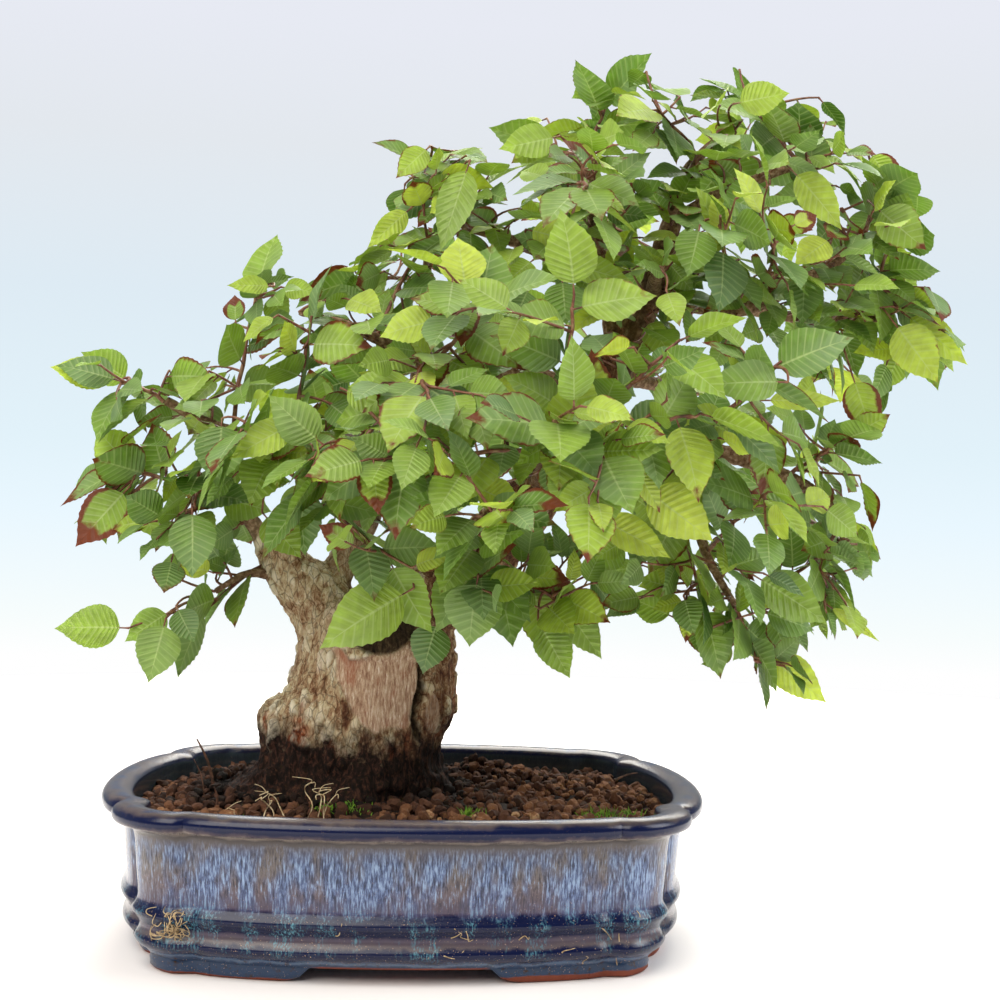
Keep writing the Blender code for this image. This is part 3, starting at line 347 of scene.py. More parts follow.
# Fallen twigs: start and end, on the soil or in the air, and radius
TWIG_BITS = (
    ((-0.109, -0.014), (-0.120, -0.010, 0.106), 0.0011), ((-0.113, -0.024), (-0.120, -0.020, 0.096), 0.0005),
    ((-0.102, -0.056), (-0.1035, -0.058, 0.087), 0.0009), ((-0.066, -0.086), (-0.048, -0.098), 0.0006),
    ((0.118, -0.030, 0.089), (0.133, -0.018, 0.0915), 0.0008), ((0.060, -0.098), (0.076, -0.090), 0.0005),
    ((-0.023, -0.090), (-0.012, -0.096), 0.0005),
)
# Straw stuck to the pot: start and end in thousandths of the picture
STRAW_BITS = (
    (334, 936, 341, 924), (452, 938, 464, 930), (456, 930, 466, 938), (464, 930, 470, 939),
    (448, 960, 466, 950), (618, 944, 622, 902), (616, 962, 620, 946), (600, 930, 610, 938),
    (560, 952, 572, 947), (520, 940, 530, 936), (632, 930, 640, 912), (580, 962, 590, 956),
)
# Tangle of dry roots on the pot: its place in the picture and how many strands
NEST_PLACE = (173, 927)
NEST_STRANDS = 46


def srgb(code):
    """A web colour code as linear red, green and blue."""
    parts = [int(code[i:i + 2], 16) / 255.0 for i in (0, 2, 4)]
    return tuple(c / 12.92 if c <= 0.04045 else ((c + 0.055) / 1.055) ** 2.4 for c in parts)


def colour_value(label, text, code):
    return bpy.props.FloatVectorProperty(
        name=label, description=text, subtype="COLOR", size=3, min=0.0, max=1.0, default=srgb(code))


def size_value(label, text, default, low, high):
    return bpy.props.FloatProperty(
        name=label, description=text, unit="LENGTH", default=default, min=low, max=high, precision=4)


class PotSettings(bpy.types.PropertyGroup):
    width: size_value("Rim width", "Widest span of the rim, left to right", 0.340, 0.2, 0.5)
    depth: size_value("Rim depth", "Widest span of the rim, front to back", 0.284, 0.15, 0.4)
    notch_x: size_value("Side notch X", "Where side and corner lobes meet, from the middle", 0.150, 0.1, 0.2)
    notch_y: size_value(
        "Side notch Y", "Where side and corner lobes meet, from the middle", 0.0825, 0.04, 0.15)
    corner_x: size_value(
        "Front notch X", "Where front and corner lobes meet, from the middle", 0.110, 0.05, 0.2)
    corner_y: size_value(
        "Front notch Y", "Where front and corner lobes meet, from the middle", 0.1265, 0.05, 0.2)
    corner_bulge: size_value("Corner bulge", "How far a corner lobe stands out", 0.0140, 0.0, 0.03)
    navy: colour_value("Pooled glaze", "Glaze where it lies thick on lip and rings", "0C1436")
    sky: colour_value("Running glaze", "Pale streaks that ran down the wall", "92A9C8")
    bare: colour_value("Thin glaze", "Glaze over the clay where it is thin", "6A625F")
    teal: colour_value("Drip glaze", "Green-blue drips over the rings", "5B93A3")
    clay: colour_value("Fired clay", "Unglazed clay under the feet", "8C4A35")


class SoilSettings(bpy.types.PropertyGroup):
    grain: size_value("Grain size", "Middle size of a clay grain", 0.0039, 0.002, 0.01)
    grain_count: bpy.props.IntProperty(
        name="Grains", description="Number of clay grains on the surface", default=3900, min=100, max=6000)
    light: colour_value("Dry grain", "Clay grain in the light", "855B3D")
    dark: colour_value("Damp grain", "Damp clay grain", "352117")


class TrunkSettings(bpy.types.PropertyGroup):
    detail: size_value("Mesh detail", "Edge length of the bark's mesh", 0.0011, 0.0008, 0.005)
    flake: size_value("Flake size", "Width of a plate of bark", 0.0070, 0.002, 0.03)
    relief: size_value("Bark relief", "Depth of the furrows on the column", 0.0023, 0.0, 0.005)
    cream: colour_value("Dry bark", "Pale cork that catches the light", "C9B692")
    brown: colour_value("Old bark", "Weathered bark between the flakes", "7A563D")
    rust: colour_value("Fresh bark", "Red inner bark where flakes fell off", "8E4A2C")
    damp: colour_value("Damp foot", "Wet bark near the soil", "1F120C")
    wood: colour_value("Bare wood", "Old wood where a limb was cut", "D0B498")


class LeafSettings(bpy.types.PropertyGroup):
    petiole: bpy.props.FloatProperty(
        name="Leaf stalk", description="Share of a leaf's length that is its stalk", default=0.12,
        min=0.0, max=0.3, subtype="FACTOR")
    side_shoots: bpy.props.IntProperty(
        name="Side shoots", description="Extra shoots on each twig", default=3, min=0, max=8)
    most: bpy.props.IntProperty(
        name="Most leaves", description="Most leaves on the whole crown", default=1480, min=100, max=4000)
    deep: colour_value("Old leaf", "Upper face of an old leaf", "557C33")
    middle: colour_value("Leaf", "Upper face of a grown leaf", "86AB48")
    fresh: colour_value("Young leaf", "Upper face of a young leaf", "D3E45E")
    scorch: colour_value("Dry edge", "Edge burnt by sun and wind", "7E3F22")
    shoot: colour_value("Young shoot", "Bark of a young shoot", "7F4C38")


class StudioSettings(bpy.types.PropertyGroup):
    floor: colour_value("Floor", "Plain pale floor", "F6F0EC")
    wall: colour_value("Backdrop", "Pale light behind the tree", "DEEBF4")
    zenith: colour_value("Backdrop top", "Pale light above the tree", "E7EAF3")


def settings(name):
    return getattr(bpy.context.scene, name)


def feed(tree, node, inputs):
    """Set inputs of a node, each to a value or to what another node gives."""
    for key, value in inputs.items():
        socket = node.inputs[key]
        if isinstance(value, bpy.types.NodeSocket):
            tree.links.new(value, socket)
        else:
            socket.default_value = (*value[:3], 1.0) if socket.type == "RGBA" else value


def add(tree, kind, inputs=None, stops=None, out=0, **values):
    """Add a shader node with its settings, its inputs and its colour stops.

    Gives the named output, the first one in use by default, or all for None."""
    node = tree.nodes.new("ShaderNode" + kind)
    for key, value in values.items():
        setattr(node, key, value)
    feed(tree, node, inputs or {})
    if stops:
        spare = node.color_ramp.elements
        while len(spare) < len(stops):
            spare.new(1.0)
        for element, (place, colour) in zip(spare, stops):
            element.position = place
            element.color = (*colour, 1.0)
    if out is None:
        return node.outputs
    return next(s for s in node.outputs if s.enabled) if out == 0 else node.outputs[out]


def new_material(name):
    """A material, its nodes, its shader and the place of a point on the piece."""
    material = bpy.data.materials.new(name)
    material.use_nodes = True
    tree = material.node_tree
    return material, tree, tree.nodes["Principled BSDF"], add(tree, "TexCoord", out="Object")


def deselect():
    for item in list(bpy.context.selected_objects):
        item.select_set(False)


def activate(piece):
    deselect()
    piece.select_set(True)
    bpy.context.view_layer.objects.active = piece


def apply_all(piece):
    activate(piece)
    for modifier in list(piece.modifiers):
        bpy.ops.object.modifier_apply(modifier=modifier.name)


def finish_piece(piece, nodes=(), angle=None):
    """Put a piece in the model's frame, tie it to its body and hide the model's nodes that it replaces."""
    piece.data.transform(Matrix.Translation(POT_MIDDLE))
    piece.data.update()
    if angle is not None:
        activate(piece)
        bpy.ops.object.shade_smooth_by_angle(angle=math.radians(angle))
        deselect()
    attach(piece, "root")
    if nodes:
        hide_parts(*nodes)


def mesh_piece(name, points, faces, materials, groups=None):
    """A smooth piece from points and faces, with the material number of each face."""
    mesh = bpy.data.meshes.new(name)
    mesh.from_pydata(points.tolist(), [], faces)
    for material in materials:
        mesh.materials.append(material)
    if groups is not None:
        mesh.polygons.foreach_set("material_index", np.asarray(groups, np.int32))
    mesh.polygons.foreach_set("use_smooth", np.full(len(mesh.polygons), True))
    mesh.update()
    piece = bpy.data.objects.new(name, mesh)
    bpy.context.scene.collection.objects.link(piece)
    return piece


def set_value(mesh, name, values):
    layer = mesh.attributes.new(name, "FLOAT", "POINT")
    layer.data.foreach_set("value", np.asarray(values, np.float32))


def points_of(piece):
    flat = np.empty(len(piece.data.vertices) * 3, np.float32)
    piece.data.vertices.foreach_get("co", flat)
    return flat.reshape(-1, 3).astype(float)


def loft(name, rings):
    """Add a circle and extrude it ring by ring, as a wall of clay is pulled up."""
    deselect()
    bpy.ops.mesh.primitive_circle_add(vertices=len(rings[0]), radius=1.0, fill_type="NOTHING")
    piece = bpy.context.active_object
    piece.name = name
    bpy.ops.object.mode_set(mode="EDIT")
    shape = bmesh.from_edit_mesh(piece.data)
    order = shape.verts.layers.int.new("order")
    for i, vertex in enumerate(shape.verts):
        vertex[order] = i
        vertex.co = rings[0][i]
    bpy.ops.mesh.edge_face_add()
    bpy.ops.mesh.select_mode(type="EDGE")
    for ring in rings[1:]:
        bpy.ops.mesh.extrude_edges_indiv()
        shape = bmesh.from_edit_mesh(piece.data)
        order = shape.verts.layers.int["order"]
        for vertex in shape.verts:
            if vertex.select:
                vertex.co = ring[vertex[order]]
    bpy.ops.mesh.edge_face_add()
    bpy.ops.mesh.select_all(action="SELECT")
    bpy.ops.mesh.normals_make_consistent(inside=False)
    bmesh.update_edit_mesh(piece.data)
    bpy.ops.object.mode_set(mode="OBJECT")
    return piece


def smooth_line(knots, steps):
    """Points on a smooth curve through the knots, with steps to each span."""
    knots = [np.array(k, float) for k in knots]
    out = []
    for i in range(len(knots) - 1):
        a = knots[max(i - 1, 0)]
        b, c = knots[i], knots[i + 1]
        d = knots[min(i + 2, len(knots) - 1)]
        for step in range(steps):
            t = step / steps
            out.append(0.5 * (2 * b + (c - a) * t + (2 * a - 5 * b + 4 * c - d) * t ** 2
                              + (3 * b - a - 3 * c + d) * t ** 3))
    out.append(knots[-1])
    return out


def seen_at(point):
    """Where the camera sees a point given about the pot's middle, in thousandths."""
    right, up, back, eye = CAMERA_AXES
    away = Vector(point) - eye
    reach = FOCUS / -away.dot(back)
    return PICTURE / 2.0 + reach * away.dot(right), PICTURE / 2.0 - reach * away.dot(up)


def camera_axes():
    heading, height, roll = (math.radians(a) for a in (CAMERA_HEADING, CAMERA_HEIGHT_ANGLE, CAMERA_ROLL))
    back = Vector((math.sin(heading) * math.cos(height), -math.cos(heading) * math.cos(height),
                   math.sin(height)))
    eye = CAMERA_AIM + back * CAMERA_DISTANCE
    level = Vector((math.cos(heading), math.sin(heading), 0.0))
    upright = level.cross(-back)
    right = level * math.cos(roll) + upright * math.sin(roll)
    up = -level * math.sin(roll) + upright * math.cos(roll)
    return right, up, back, eye


CAMERA_AXES = camera_axes()


def placed_at(u, v, deep):
    """The point seen at a place of the picture, at a distance back from the middle."""
    right, up, back, eye = CAMERA_AXES
    ray = right * (u - PICTURE / 2.0) / FOCUS - up * (v - PICTURE / 2.0) / FOCUS - back
    return eye + ray * ((deep - eye.y) / ray.y)


def inside_outline(u, v, corners):
    inside = False
    for (ax, ay), (bx, by) in zip(corners, corners[1:] + corners[:1]):
        if (ay > v) != (by > v) and u < (bx - ax) * (v - ay) / (by - ay) + ax:
            inside = not inside
    return inside


# Pot

def bowed_line(start, end, bulge, steps, power):
    start, end = Vector(start), Vector(end)
    along = end - start
    outward = Vector((along.y, -along.x)).normalized()
    points = []
    for step in range(steps):
        share = (1.0 - math.cos(math.pi * step / steps)) / 2.0
        height = bulge * (4.0 * share * (1.0 - share)) ** power
        points.append(start + along * share + outward * height)
    return points


def rim_outline(pot):
    """The rim's widest line, anticlockwise from the right front notch."""
    x, y, cx, cy = pot.notch_x, pot.notch_y, pot.corner_x, pot.corner_y
    side, front = pot.width / 2.0 - x, pot.depth / 2.0 - cy
    corners = ((x, -y), (x, y), (cx, cy), (-cx, cy), (-x, y), (-x, -y), (-cx, -cy), (cx, -cy))
    bulges = (side, pot.corner_bulge, front, pot.corner_bulge) * 2
    kinds = (0, 1, 2, 1) * 2
    points = []
    for i, kind in enumerate(kinds):
        points += bowed_line(corners[i], corners[(i + 1) % 8], bulges[i], RIM_STEPS[kind], LOBE_POWERS[kind])
    return points


def inward_normals(outline):
    normals = []
    for i, point in enumerate(outline):
        before = (point - outline[i - 1]).normalized()
        after = (outline[(i + 1) % len(outline)] - point).normalized()
        along = (before + after).normalized()
        normals.append(Vector((-along.y, along.x)))
    return normals


def inset_line(outline, normals, inset):
    """The outline moved inwards. Where a tight bend would fold it over itself,
    the folded points are drawn out straight between their sound neighbours."""
    line = np.array([p + n * inset for p, n in zip(outline, normals)])
    edge = np.array([tuple(p) for p in outline])
    gaps = np.linalg.norm(line[:, None, :] - edge[None, :, :], axis=2).min(axis=1)
    sound = gaps >= inset - 0.0004
    count = len(line)
    if sound.all():
        return line
    places = np.nonzero(sound)[0]
    for i in np.nonzero(~sound)[0]:
        before = places[np.searchsorted(places, i) - 1]
        after = places[np.searchsorted(places, i) % len(places)]
        span = (after - before) % count
        share = ((i - before) % count) / span
        line[i] = line[before] + (line[after] - line[before]) * share
    return line


def foot_rings(outline, normals, side_x, side_y):
    """Sections of one bracket foot, whose ends rise in a cloud-shaped step."""
    count = len(outline)
    start = count // 2 if side_x > 0 and side_y < 0 else 0
    order = [i % count for i in range(start, start + count)]
    picked = [i for i in order
              if outline[i].x * side_x >= FOOT_REACH[0] and outline[i].y * side_y >= FOOT_REACH[1]]
    run = [0.0]
    for a, b in zip(picked, picked[1:]):
        run.append(run[-1] + (outline[b] - outline[a]).length)
    lines = {inset: inset_line(outline, normals, inset) for inset in FOOT_INSETS}
    top = FLOOR_UNDERSIDE + 0.0020
    rings = []
    for i, place in zip(picked, run):
        near = min(place, run[-1] - place)
        rise = 0.0048 * max(0.0, 1.0 - near / 0.0045) ** 2
        rise += 0.0022 * max(0.0, min(1.0, (0.0120 - near) / 0.0035))
        heights = (top, 0.0050 + rise * 0.4, 0.0012 + rise, rise, rise, 0.0012 + rise, top)
        rings.append([Vector((*lines[inset][i], height)) for inset, height in zip(FOOT_INSETS, heights)])
    return rings


def union(piece, others, operation="UNION"):
    for other in others:
        step = piece.modifiers.new("join", "BOOLEAN")
        step.operation = operation
        step.object = other
        step.solver = "EXACT"
    apply_all(piece)
    for other in others:
        bpy.data.objects.remove(other, do_unlink=True)


def glaze_material(pot):
    """Stoneware under a running two-coat glaze, fired glossy.

    The glaze pools to navy on the lip and the rings, thins to the clay's grey
    brown on the edges, and ran down the wall in pale blue threads."""
    material, tree, shader, place = new_material("running_blue_glaze")
    height = add(tree, "SeparateXYZ", {0: place}, out="Z")
    inner = add(tree, "Attribute", attribute_name="inner", out="Fac")
    # Threads of glaze are under 1 mm wide and 5 to 12 mm long
    thin = add(tree, "Mapping", {0: place, "Scale": (1.0, 1.0, 0.12)})
    threads = add(tree, "TexNoise", {0: thin, "Scale": 1050.0, "Detail": 5.0, "Roughness": 0.68,
        "Distortion": 0.18})
    # Broad runs are about 15 mm wide, and end at different heights
    wide = add(tree, "Mapping", {0: place, "Scale": (1.0, 1.0, 0.35)})
    runs = add(tree, "TexNoise", {0: wide, "Scale": 75.0, "Detail": 3.0, "Roughness": 0.6})
    drips = add(tree, "TexNoise", {0: thin, "Scale": 210.0, "Detail": 4.0, "Roughness": 0.7})
    # Height with uneven lower edges, as the glaze stopped at random
    slip = add(tree, "Math", {0: runs, 1: 0.5}, operation="SUBTRACT")
    uneven = add(tree, "Math", {0: slip, 1: 0.0060, 2: height}, operation="MULTIPLY_ADD")
    level = add(tree, "MapRange", {0: uneven, 1: 0.0, 2: 0.0860})
    navy, bare = pot.navy, pot.bare
    slate, dusk = srgb("2A3D59"), srgb("4B4152")
    bands = (
        (0.00, slate), (0.100, slate), (0.118, srgb("5B6E86")), (0.145, navy), (0.210, navy),
        (0.228, srgb("5A5153")), (0.268, dusk), (0.290, navy), (0.405, navy), (0.424, dusk),
        (0.54, srgb("665A5E")), (0.66, bare),
        (0.80, bare), (0.84, srgb("4C4745")), (0.866, srgb("8A7E73")), (0.882, srgb("4A3F47")),
        (0.902, navy), (0.952, navy), (0.978, srgb("5A4E4C")), (0.996, srgb("2C3B5C")),
    )
    ground = add(tree, "ValToRGB", {0: level}, bands)
    # A blue wash, then pale threads, cover the wall between upper ring and neck
    zone = add(tree, "ValToRGB", {0: level}, (
        (0.385, (0, 0, 0)), (0.43, (0.45, 0.45, 0.45)), (0.53, (0.95, 0.95, 0.95)), (0.72, (1, 1, 1)),
        (0.78, (0.55, 0.55, 0.55)), (0.825, (0, 0, 0))))
    broad = add(tree, "MapRange", {0: runs, 1: 0.40, 2: 0.56})
    washed = add(tree, "Math", {0: broad, 1: zone}, operation="MULTIPLY")
    wash = add(tree, "Math", {0: washed, 1: 0.72}, operation="MULTIPLY")
    blue = add(tree, "Mix", {0: wash, "A": ground, "B": srgb("456294")}, data_type="RGBA")
    gaps = add(tree, "MapRange", {0: threads, 1: 0.49, 2: 0.38, 3: 0.0, 4: 0.9})
    between = add(tree, "Math", {0: gaps, 1: zone}, operation="MULTIPLY")
    parted = add(tree, "Mix", {0: between, "A": blue, "B": srgb("2A2C38")}, data_type="RGBA")
    gather = add(tree, "Math", {0: broad, 1: 0.07, 2: threads}, operation="MULTIPLY_ADD")
    strands = add(tree, "MapRange", {0: gather, 1: 0.550, 2: 0.690})
    cover = add(tree, "Math", {0: strands, 1: zone}, operation="MULTIPLY")
    wall = add(tree, "Mix", {0: cover, "A": parted, "B": pot.sky}, data_type="RGBA")
    # Green-blue drips run over the rings where a broad run reached them
    below = add(tree, "ValToRGB", {0: level}, (
        (0.13, (0, 0, 0)), (0.20, (0.7, 0.7, 0.7)), (0.36, (1, 1, 1)), (0.43, (0.5, 0.5, 0.5)),
        (0.50, (0, 0, 0))))
    reach = add(tree, "MapRange", {0: runs, 1: 0.48, 2: 0.60})
    thread_drip = add(tree, "MapRange", {0: threads, 1: 0.49, 2: 0.63})
    part = add(tree, "Math", {0: reach, 1: thread_drip}, operation="MULTIPLY")
    wet = add(tree, "Math", {0: part, 1: below}, operation="MULTIPLY")
    dripped = add(tree, "Mix", {0: wet, "A": wall, "B": pot.teal}, data_type="RGBA")
    # The inner wall has one dark coat that shows the clay in streaks
    inside = add(tree, "Mix", {0: threads, "A": srgb("141D2C"), "B": srgb("3F4A4E")}, data_type="RGBA")
    within = add(tree, "Math", {0: inner, 1: 0.92}, operation="MULTIPLY")
    coated = add(tree, "Mix", {0: within, "A": dripped, "B": inside}, data_type="RGBA")
    # Specks of dust and lime, under half a millimetre
    specks = add(tree, "TexNoise", {0: place, "Scale": 1500.0, "Detail": 1.0})
    speck = add(tree, "MapRange", {0: specks, 1: 0.715, 2: 0.735})
    low_wall = add(tree, "MapRange", {0: height, 1: 0.055, 2: 0.012, 3: 0.15, 4: 1.0})
    dust = add(tree, "Math", {0: speck, 1: low_wall}, operation="MULTIPLY")
    dusty = add(tree, "Mix", {0: dust, "A": coated, "B": srgb("C2A284")}, data_type="RGBA")
    soiled = add(tree, "TexNoise", {0: place, "Scale": 230.0, "Detail": 7.0, "Roughness": 0.75})
    crumbs = add(tree, "MapRange", {0: soiled, 1: 0.56, 2: 0.62})
    lowest = add(tree, "MapRange", {0: height, 1: 0.016, 2: 0.006})
    earthy = add(tree, "Math", {0: crumbs, 1: lowest}, operation="MULTIPLY")
    dirty = add(tree, "Mix", {0: earthy, "A": dusty, "B": srgb("3E2A1C")}, data_type="RGBA")
    # Bare clay below a wiped line under the feet, and on the edge between them
    across = add(tree, "SeparateXYZ", {0: place}, out="X")
    wipe_line = add(tree, "MapRange", {0: across, 1: -0.12, 2: 0.02, 3: 0.0012, 4: 0.0034})
    wiped = add(tree, "Math", {0: slip, 1: 0.0030, 2: height}, operation="MULTIPLY_ADD")
    above = add(tree, "Math", {0: wiped, 1: wipe_line}, operation="SUBTRACT")
    foot = add(tree, "MapRange", {0: above, 1: 0.0003, 2: -0.0003})
    under = add(tree, "Attribute", attribute_name="under", out="Fac")
    unglazed = add(tree, "Math", {0: foot, 1: under}, operation="MAXIMUM")
    stain = add(tree, "Mix", {0: drips, "A": srgb("6E3424"), "B": pot.clay}, data_type="RGBA")
    colour = add(tree, "Mix", {0: unglazed, "A": dirty, "B": stain}, data_type="RGBA")
    rough = add(tree, "MapRange", {0: unglazed, 1: 0.0, 2: 1.0, 3: 0.17, 4: 0.85})
    matt = add(tree, "Math", {0: dust, 1: 0.5, 2: rough}, operation="MULTIPLY_ADD")
    ridge = add(tree, "Math", {0: cover, 1: 0.5, 2: threads}, operation="MULTIPLY_ADD")
    bump = add(tree, "Bump", {"Height": ridge, "Strength": 0.25, "Distance": 0.0004})
    feed(tree, shader, {"Base Color": colour, "Roughness": matt, "IOR": 1.40, "Normal": bump})
    return material


class BONSAI_OT_pot(bpy.types.Operator):
    """Pull up the lobed wall, roll the lip, set four bracket feet and drill the floor"""
    bl_idname = "bonsai.pot"
    bl_label = "Make the pot"

    def execute(self, context):
        pot = settings("bonsai_pot")
        outline = rim_outline(pot)
        normals = inward_normals(outline)
        profile = smooth_line([(inset, height) for height, inset in POT_WALL], WALL_STEPS)
        rings = [[Vector((*place, height)) for place in inset_line(outline, normals, inset)]
                 for inset, height in profile]
        piece = loft("glazed_pot", rings)
        feet = []
        for side_x in (-1, 1):
            for side_y in (-1, 1):
                feet.append(loft("foot", foot_rings(outline, normals, side_x, side_y)))
        union(piece, feet)
        drains = []
        for side in (-1, 1):
            deselect()
            bpy.ops.mesh.primitive_cylinder_add(
                vertices=48, radius=DRAIN_RADIUS, depth=0.03,
                location=(side * DRAIN_PLACE, 0.0, FLOOR_UNDERSIDE))
            drains.append(bpy.context.active_object)
        union(piece, drains, "DIFFERENCE")
        points = points_of(piece)
        fence = [tuple(place) for place in inset_line(outline, normals, INNER_INSET)]
        inner = [
            1.0 if FLOOR_UNDERSIDE + 0.004 < z < INNER_TOP and inside_outline(x, y, fence) else 0.0
            for x, y, z in points]
        under = np.where(points[:, 2] <= FLOOR_UNDERSIDE + 0.0006, 1.0, 0.0)
        rim_side = np.hypot(points[:, 0] / 0.148, points[:, 1] / 0.122) > 0.9
        at_foot = (np.abs(points[:, 0]) > FOOT_REACH[0]) & (np.abs(points[:, 1]) > FOOT_REACH[1])
        under = np.where(rim_side & at_foot, 0.0, under)
        set_value(piece.data, "inner", inner)
        set_value(piece.data, "under", under)
        piece.data.materials.clear()
        piece.data.materials.append(glaze_material(pot))
        finish_piece(piece, ["pot"], 42)
        return {"FINISHED"}


# Soil

# Sizes of grains against the usual one, and how far each may stretch along its axes
GRAIN_SIZES = (0.5, 0.7, 0.85, 1.0, 1.0, 1.15, 1.4, 1.8)
GRAIN_STRETCH = ((0.8, 1.25), (0.8, 1.2), (0.6, 1.0))
# Height from which a place on the soil is looked for, and the lowest soil strewn
DROP_FROM = 0.12
SOIL_LOWEST = 0.060
# Heaps on the soil: height, middle x and y, and reach in x and y
HEAPS = (
    (0.0110, 0.050, 0.055, 0.030, 0.026), (0.0050, 0.100, 0.030, 0.040, 0.040),
    (0.0045, -0.105, -0.005, 0.020, 0.040),
)


def make_grain_shapes(draw):
    """A few knobbly clay grains, each a rough ball pushed in and out."""
    shapes = []
    for rounds in (2, 2, 2, 1, 1):
        deselect()
        bpy.ops.mesh.primitive_ico_sphere_add(subdivisions=rounds, radius=0.5)
        ball = bpy.context.active_object
        points = points_of(ball)
        faces = np.array([tuple(p.vertices) for p in ball.data.polygons], int)
        shift = Vector([draw.uniform(-9, 9) for _ in range(3)])
        for i, point in enumerate(points):
            lump = noise.noise(Vector(point) * 2.6 + shift) * 0.42
            lump += noise.noise(Vector(point) * 6.0 + shift) * 0.22
            points[i] = point * (1.0 + lump)
        shapes.append((points, faces))
        bpy.data.objects.remove(ball, do_unlink=True)
    return shapes


def turned(points, matrix):
    return points @ np.array(matrix.to_3x3()).T + np.array(matrix.translation)


def earth_material(soil, name, scale):
    """Fired clay grains, porous and matt, darker where they hold water.

    Each grain takes its own shade from a coarse pattern and from its shade attribute, which also holds
    painted light, lighter at the front and darker at the back. Fine pores break up the light."""
    material, tree, shader, place = new_material(name)
    shade = add(tree, "Attribute", attribute_name="shade", out="Fac")
    pores = add(tree, "TexNoise", {0: place, "Scale": 1400.0, "Detail": 4.0, "Roughness": 0.7})
    patch = add(tree, "TexNoise", {0: place, "Scale": scale, "Detail": 2.0})
    mix = add(tree, "Math", {0: patch, 1: 0.30, 2: shade}, operation="MULTIPLY_ADD")
    tone = add(tree, "Math", {0: pores, 1: 0.34, 2: mix}, operation="MULTIPLY_ADD")
    colour = add(tree, "ValToRGB", {0: tone}, (
        (0.28, srgb("140C08")), (0.48, soil.dark), (0.73, srgb("5B3B2A")),
        (0.93, soil.light), (1.0, srgb("B0906A"))))
    bump = add(tree, "Bump", {"Height": pores, "Strength": 0.7, "Distance": 0.0008})
    feed(tree, shader, {"Base Color": colour, "Roughness": 0.92, "Specular IOR Level": 0.25, "Normal": bump})
    return material


def node_tree_of(name):
    """Shape of a node of the model about the pot's middle, for resting things on."""
    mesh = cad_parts[name].data
    points = [v.co - POT_MIDDLE for v in mesh.vertices]
    return BVHTree.FromPolygons(points, [tuple(p.vertices) for p in mesh.polygons])


def soil_height(x, y):
    """Height of the heaps on the soil, above the model's soil."""
    return sum(tall * math.exp(-(((x - cx) / wide) ** 2 + ((y - cy) / deep) ** 2))
               for tall, cx, cy, wide, deep in HEAPS)


class BONSAI_OT_soil(bpy.types.Operator):
    """Strew clay grains over the soil, heaped behind the trunk, with a few lumps"""
    bl_idname = "bonsai.soil"
    bl_label = "Strew the soil"

    def execute(self, context):
        soil = settings("bonsai_soil")
        draw = random.Random(21)
        ground = node_tree_of("soil")
        wood = node_tree_of("trunk")
        rim = rim_outline(settings("bonsai_pot"))
        edge = [(p.x, p.y) for p in rim]
        shapes = make_grain_shapes(draw)
        parts, faces, shades = [], [], []
        count = placed = 0
        pot = settings("bonsai_pot")
        while placed < soil.grain_count:
            x = draw.uniform(-pot.width, pot.width) / 2.0
            y = draw.uniform(-pot.depth, pot.depth) / 2.0
            shrink = 1.0 + 0.0200 / max(0.05, math.hypot(x, y))
            if not inside_outline(x * shrink, y * shrink, edge):
                continue
            hit, _, _, _ = ground.ray_cast(Vector((x, y, DROP_FROM)), Vector((0, 0, -1)))
            if hit is None or hit.z < SOIL_LOWEST:
                continue
            size = soil.grain * draw.choice(GRAIN_SIZES)
            lift = soil_height(x, y) * draw.uniform(0.55, 1.0) + size * draw.uniform(0.05, 0.40)
            spot = Vector((x, y, hit.z + lift))
            near = wood.find_nearest(spot)[3]
            if near is not None and near < size * 0.2:
                continue
            kind = draw.randrange(3) if size > soil.grain * 1.1 else 3 + draw.randrange(2)
            points, own = shapes[kind]
            angle = draw.uniform(0, 6.3)
            axis = Vector([draw.uniform(-1, 1) for _ in range(3)]) + Vector((0, 0, 0.01))
            stretch = Vector([size * draw.uniform(*span) for span in GRAIN_STRETCH])
            turn = Matrix.LocRotScale(spot, Matrix.Rotation(angle, 3, axis).to_quaternion(), stretch)
            parts.append(turned(points, turn))
            faces += (own + count).tolist()
            damp = 0.34 * math.exp(-max(0.0, near - 0.004) / 0.020) if near is not None else 0.0
            # Painted light: grains at the front of the pot are lighter and those at the back darker
            painted_light = 0.14 if y < -0.05 else -0.05 if y > 0.05 else 0.05
            tone = draw.uniform(0.10, 0.55) - damp + painted_light
            shades += [tone] * len(points)
            count += len(points)
            placed += 1
        material = earth_material(soil, "clay_grains", 300.0)
        piece = mesh_piece("soil_grains", np.concatenate(parts), faces, [material])
        set_value(piece.data, "shade", shades)
        finish_piece(piece, angle=30)
        under = earth_material(soil, "packed_clay_soil", 260.0)
        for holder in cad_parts["soil"].material_slots:
            holder.material = under
        return {"FINISHED"}


# Trunk

def tube(path, sides):
    """Closed tube along rows of x, y, z and radius."""
    path = np.asarray(path, float)
    across = None
    parts = []
    for i, row in enumerate(path):
        before, after = path[max(i - 1, 0)][:3], path[min(i + 1, len(path) - 1)][:3]
        along = Vector(after - before).normalized()
        if across is None:
            across = along.orthogonal().normalized()
        across = (across - along * across.dot(along)).normalized()
        third = along.cross(across)
        for side in range(sides):
            angle = 2.0 * math.pi * side / sides
            spoke = across * math.cos(angle) + third * math.sin(angle)
            parts.append(row[:3] + np.array(spoke) * row[3])
    faces = []
    for level in range(len(path) - 1):
        low = level * sides
        for side in range(sides):
            other = (side + 1) % sides
            faces.append((low + side, low + other, low + sides + other, low + sides + side))
    last = (len(path) - 1) * sides
    faces.append(tuple(range(sides - 1, -1, -1)))
    faces.append(tuple(range(last, last + sides)))
    return np.array(parts), faces


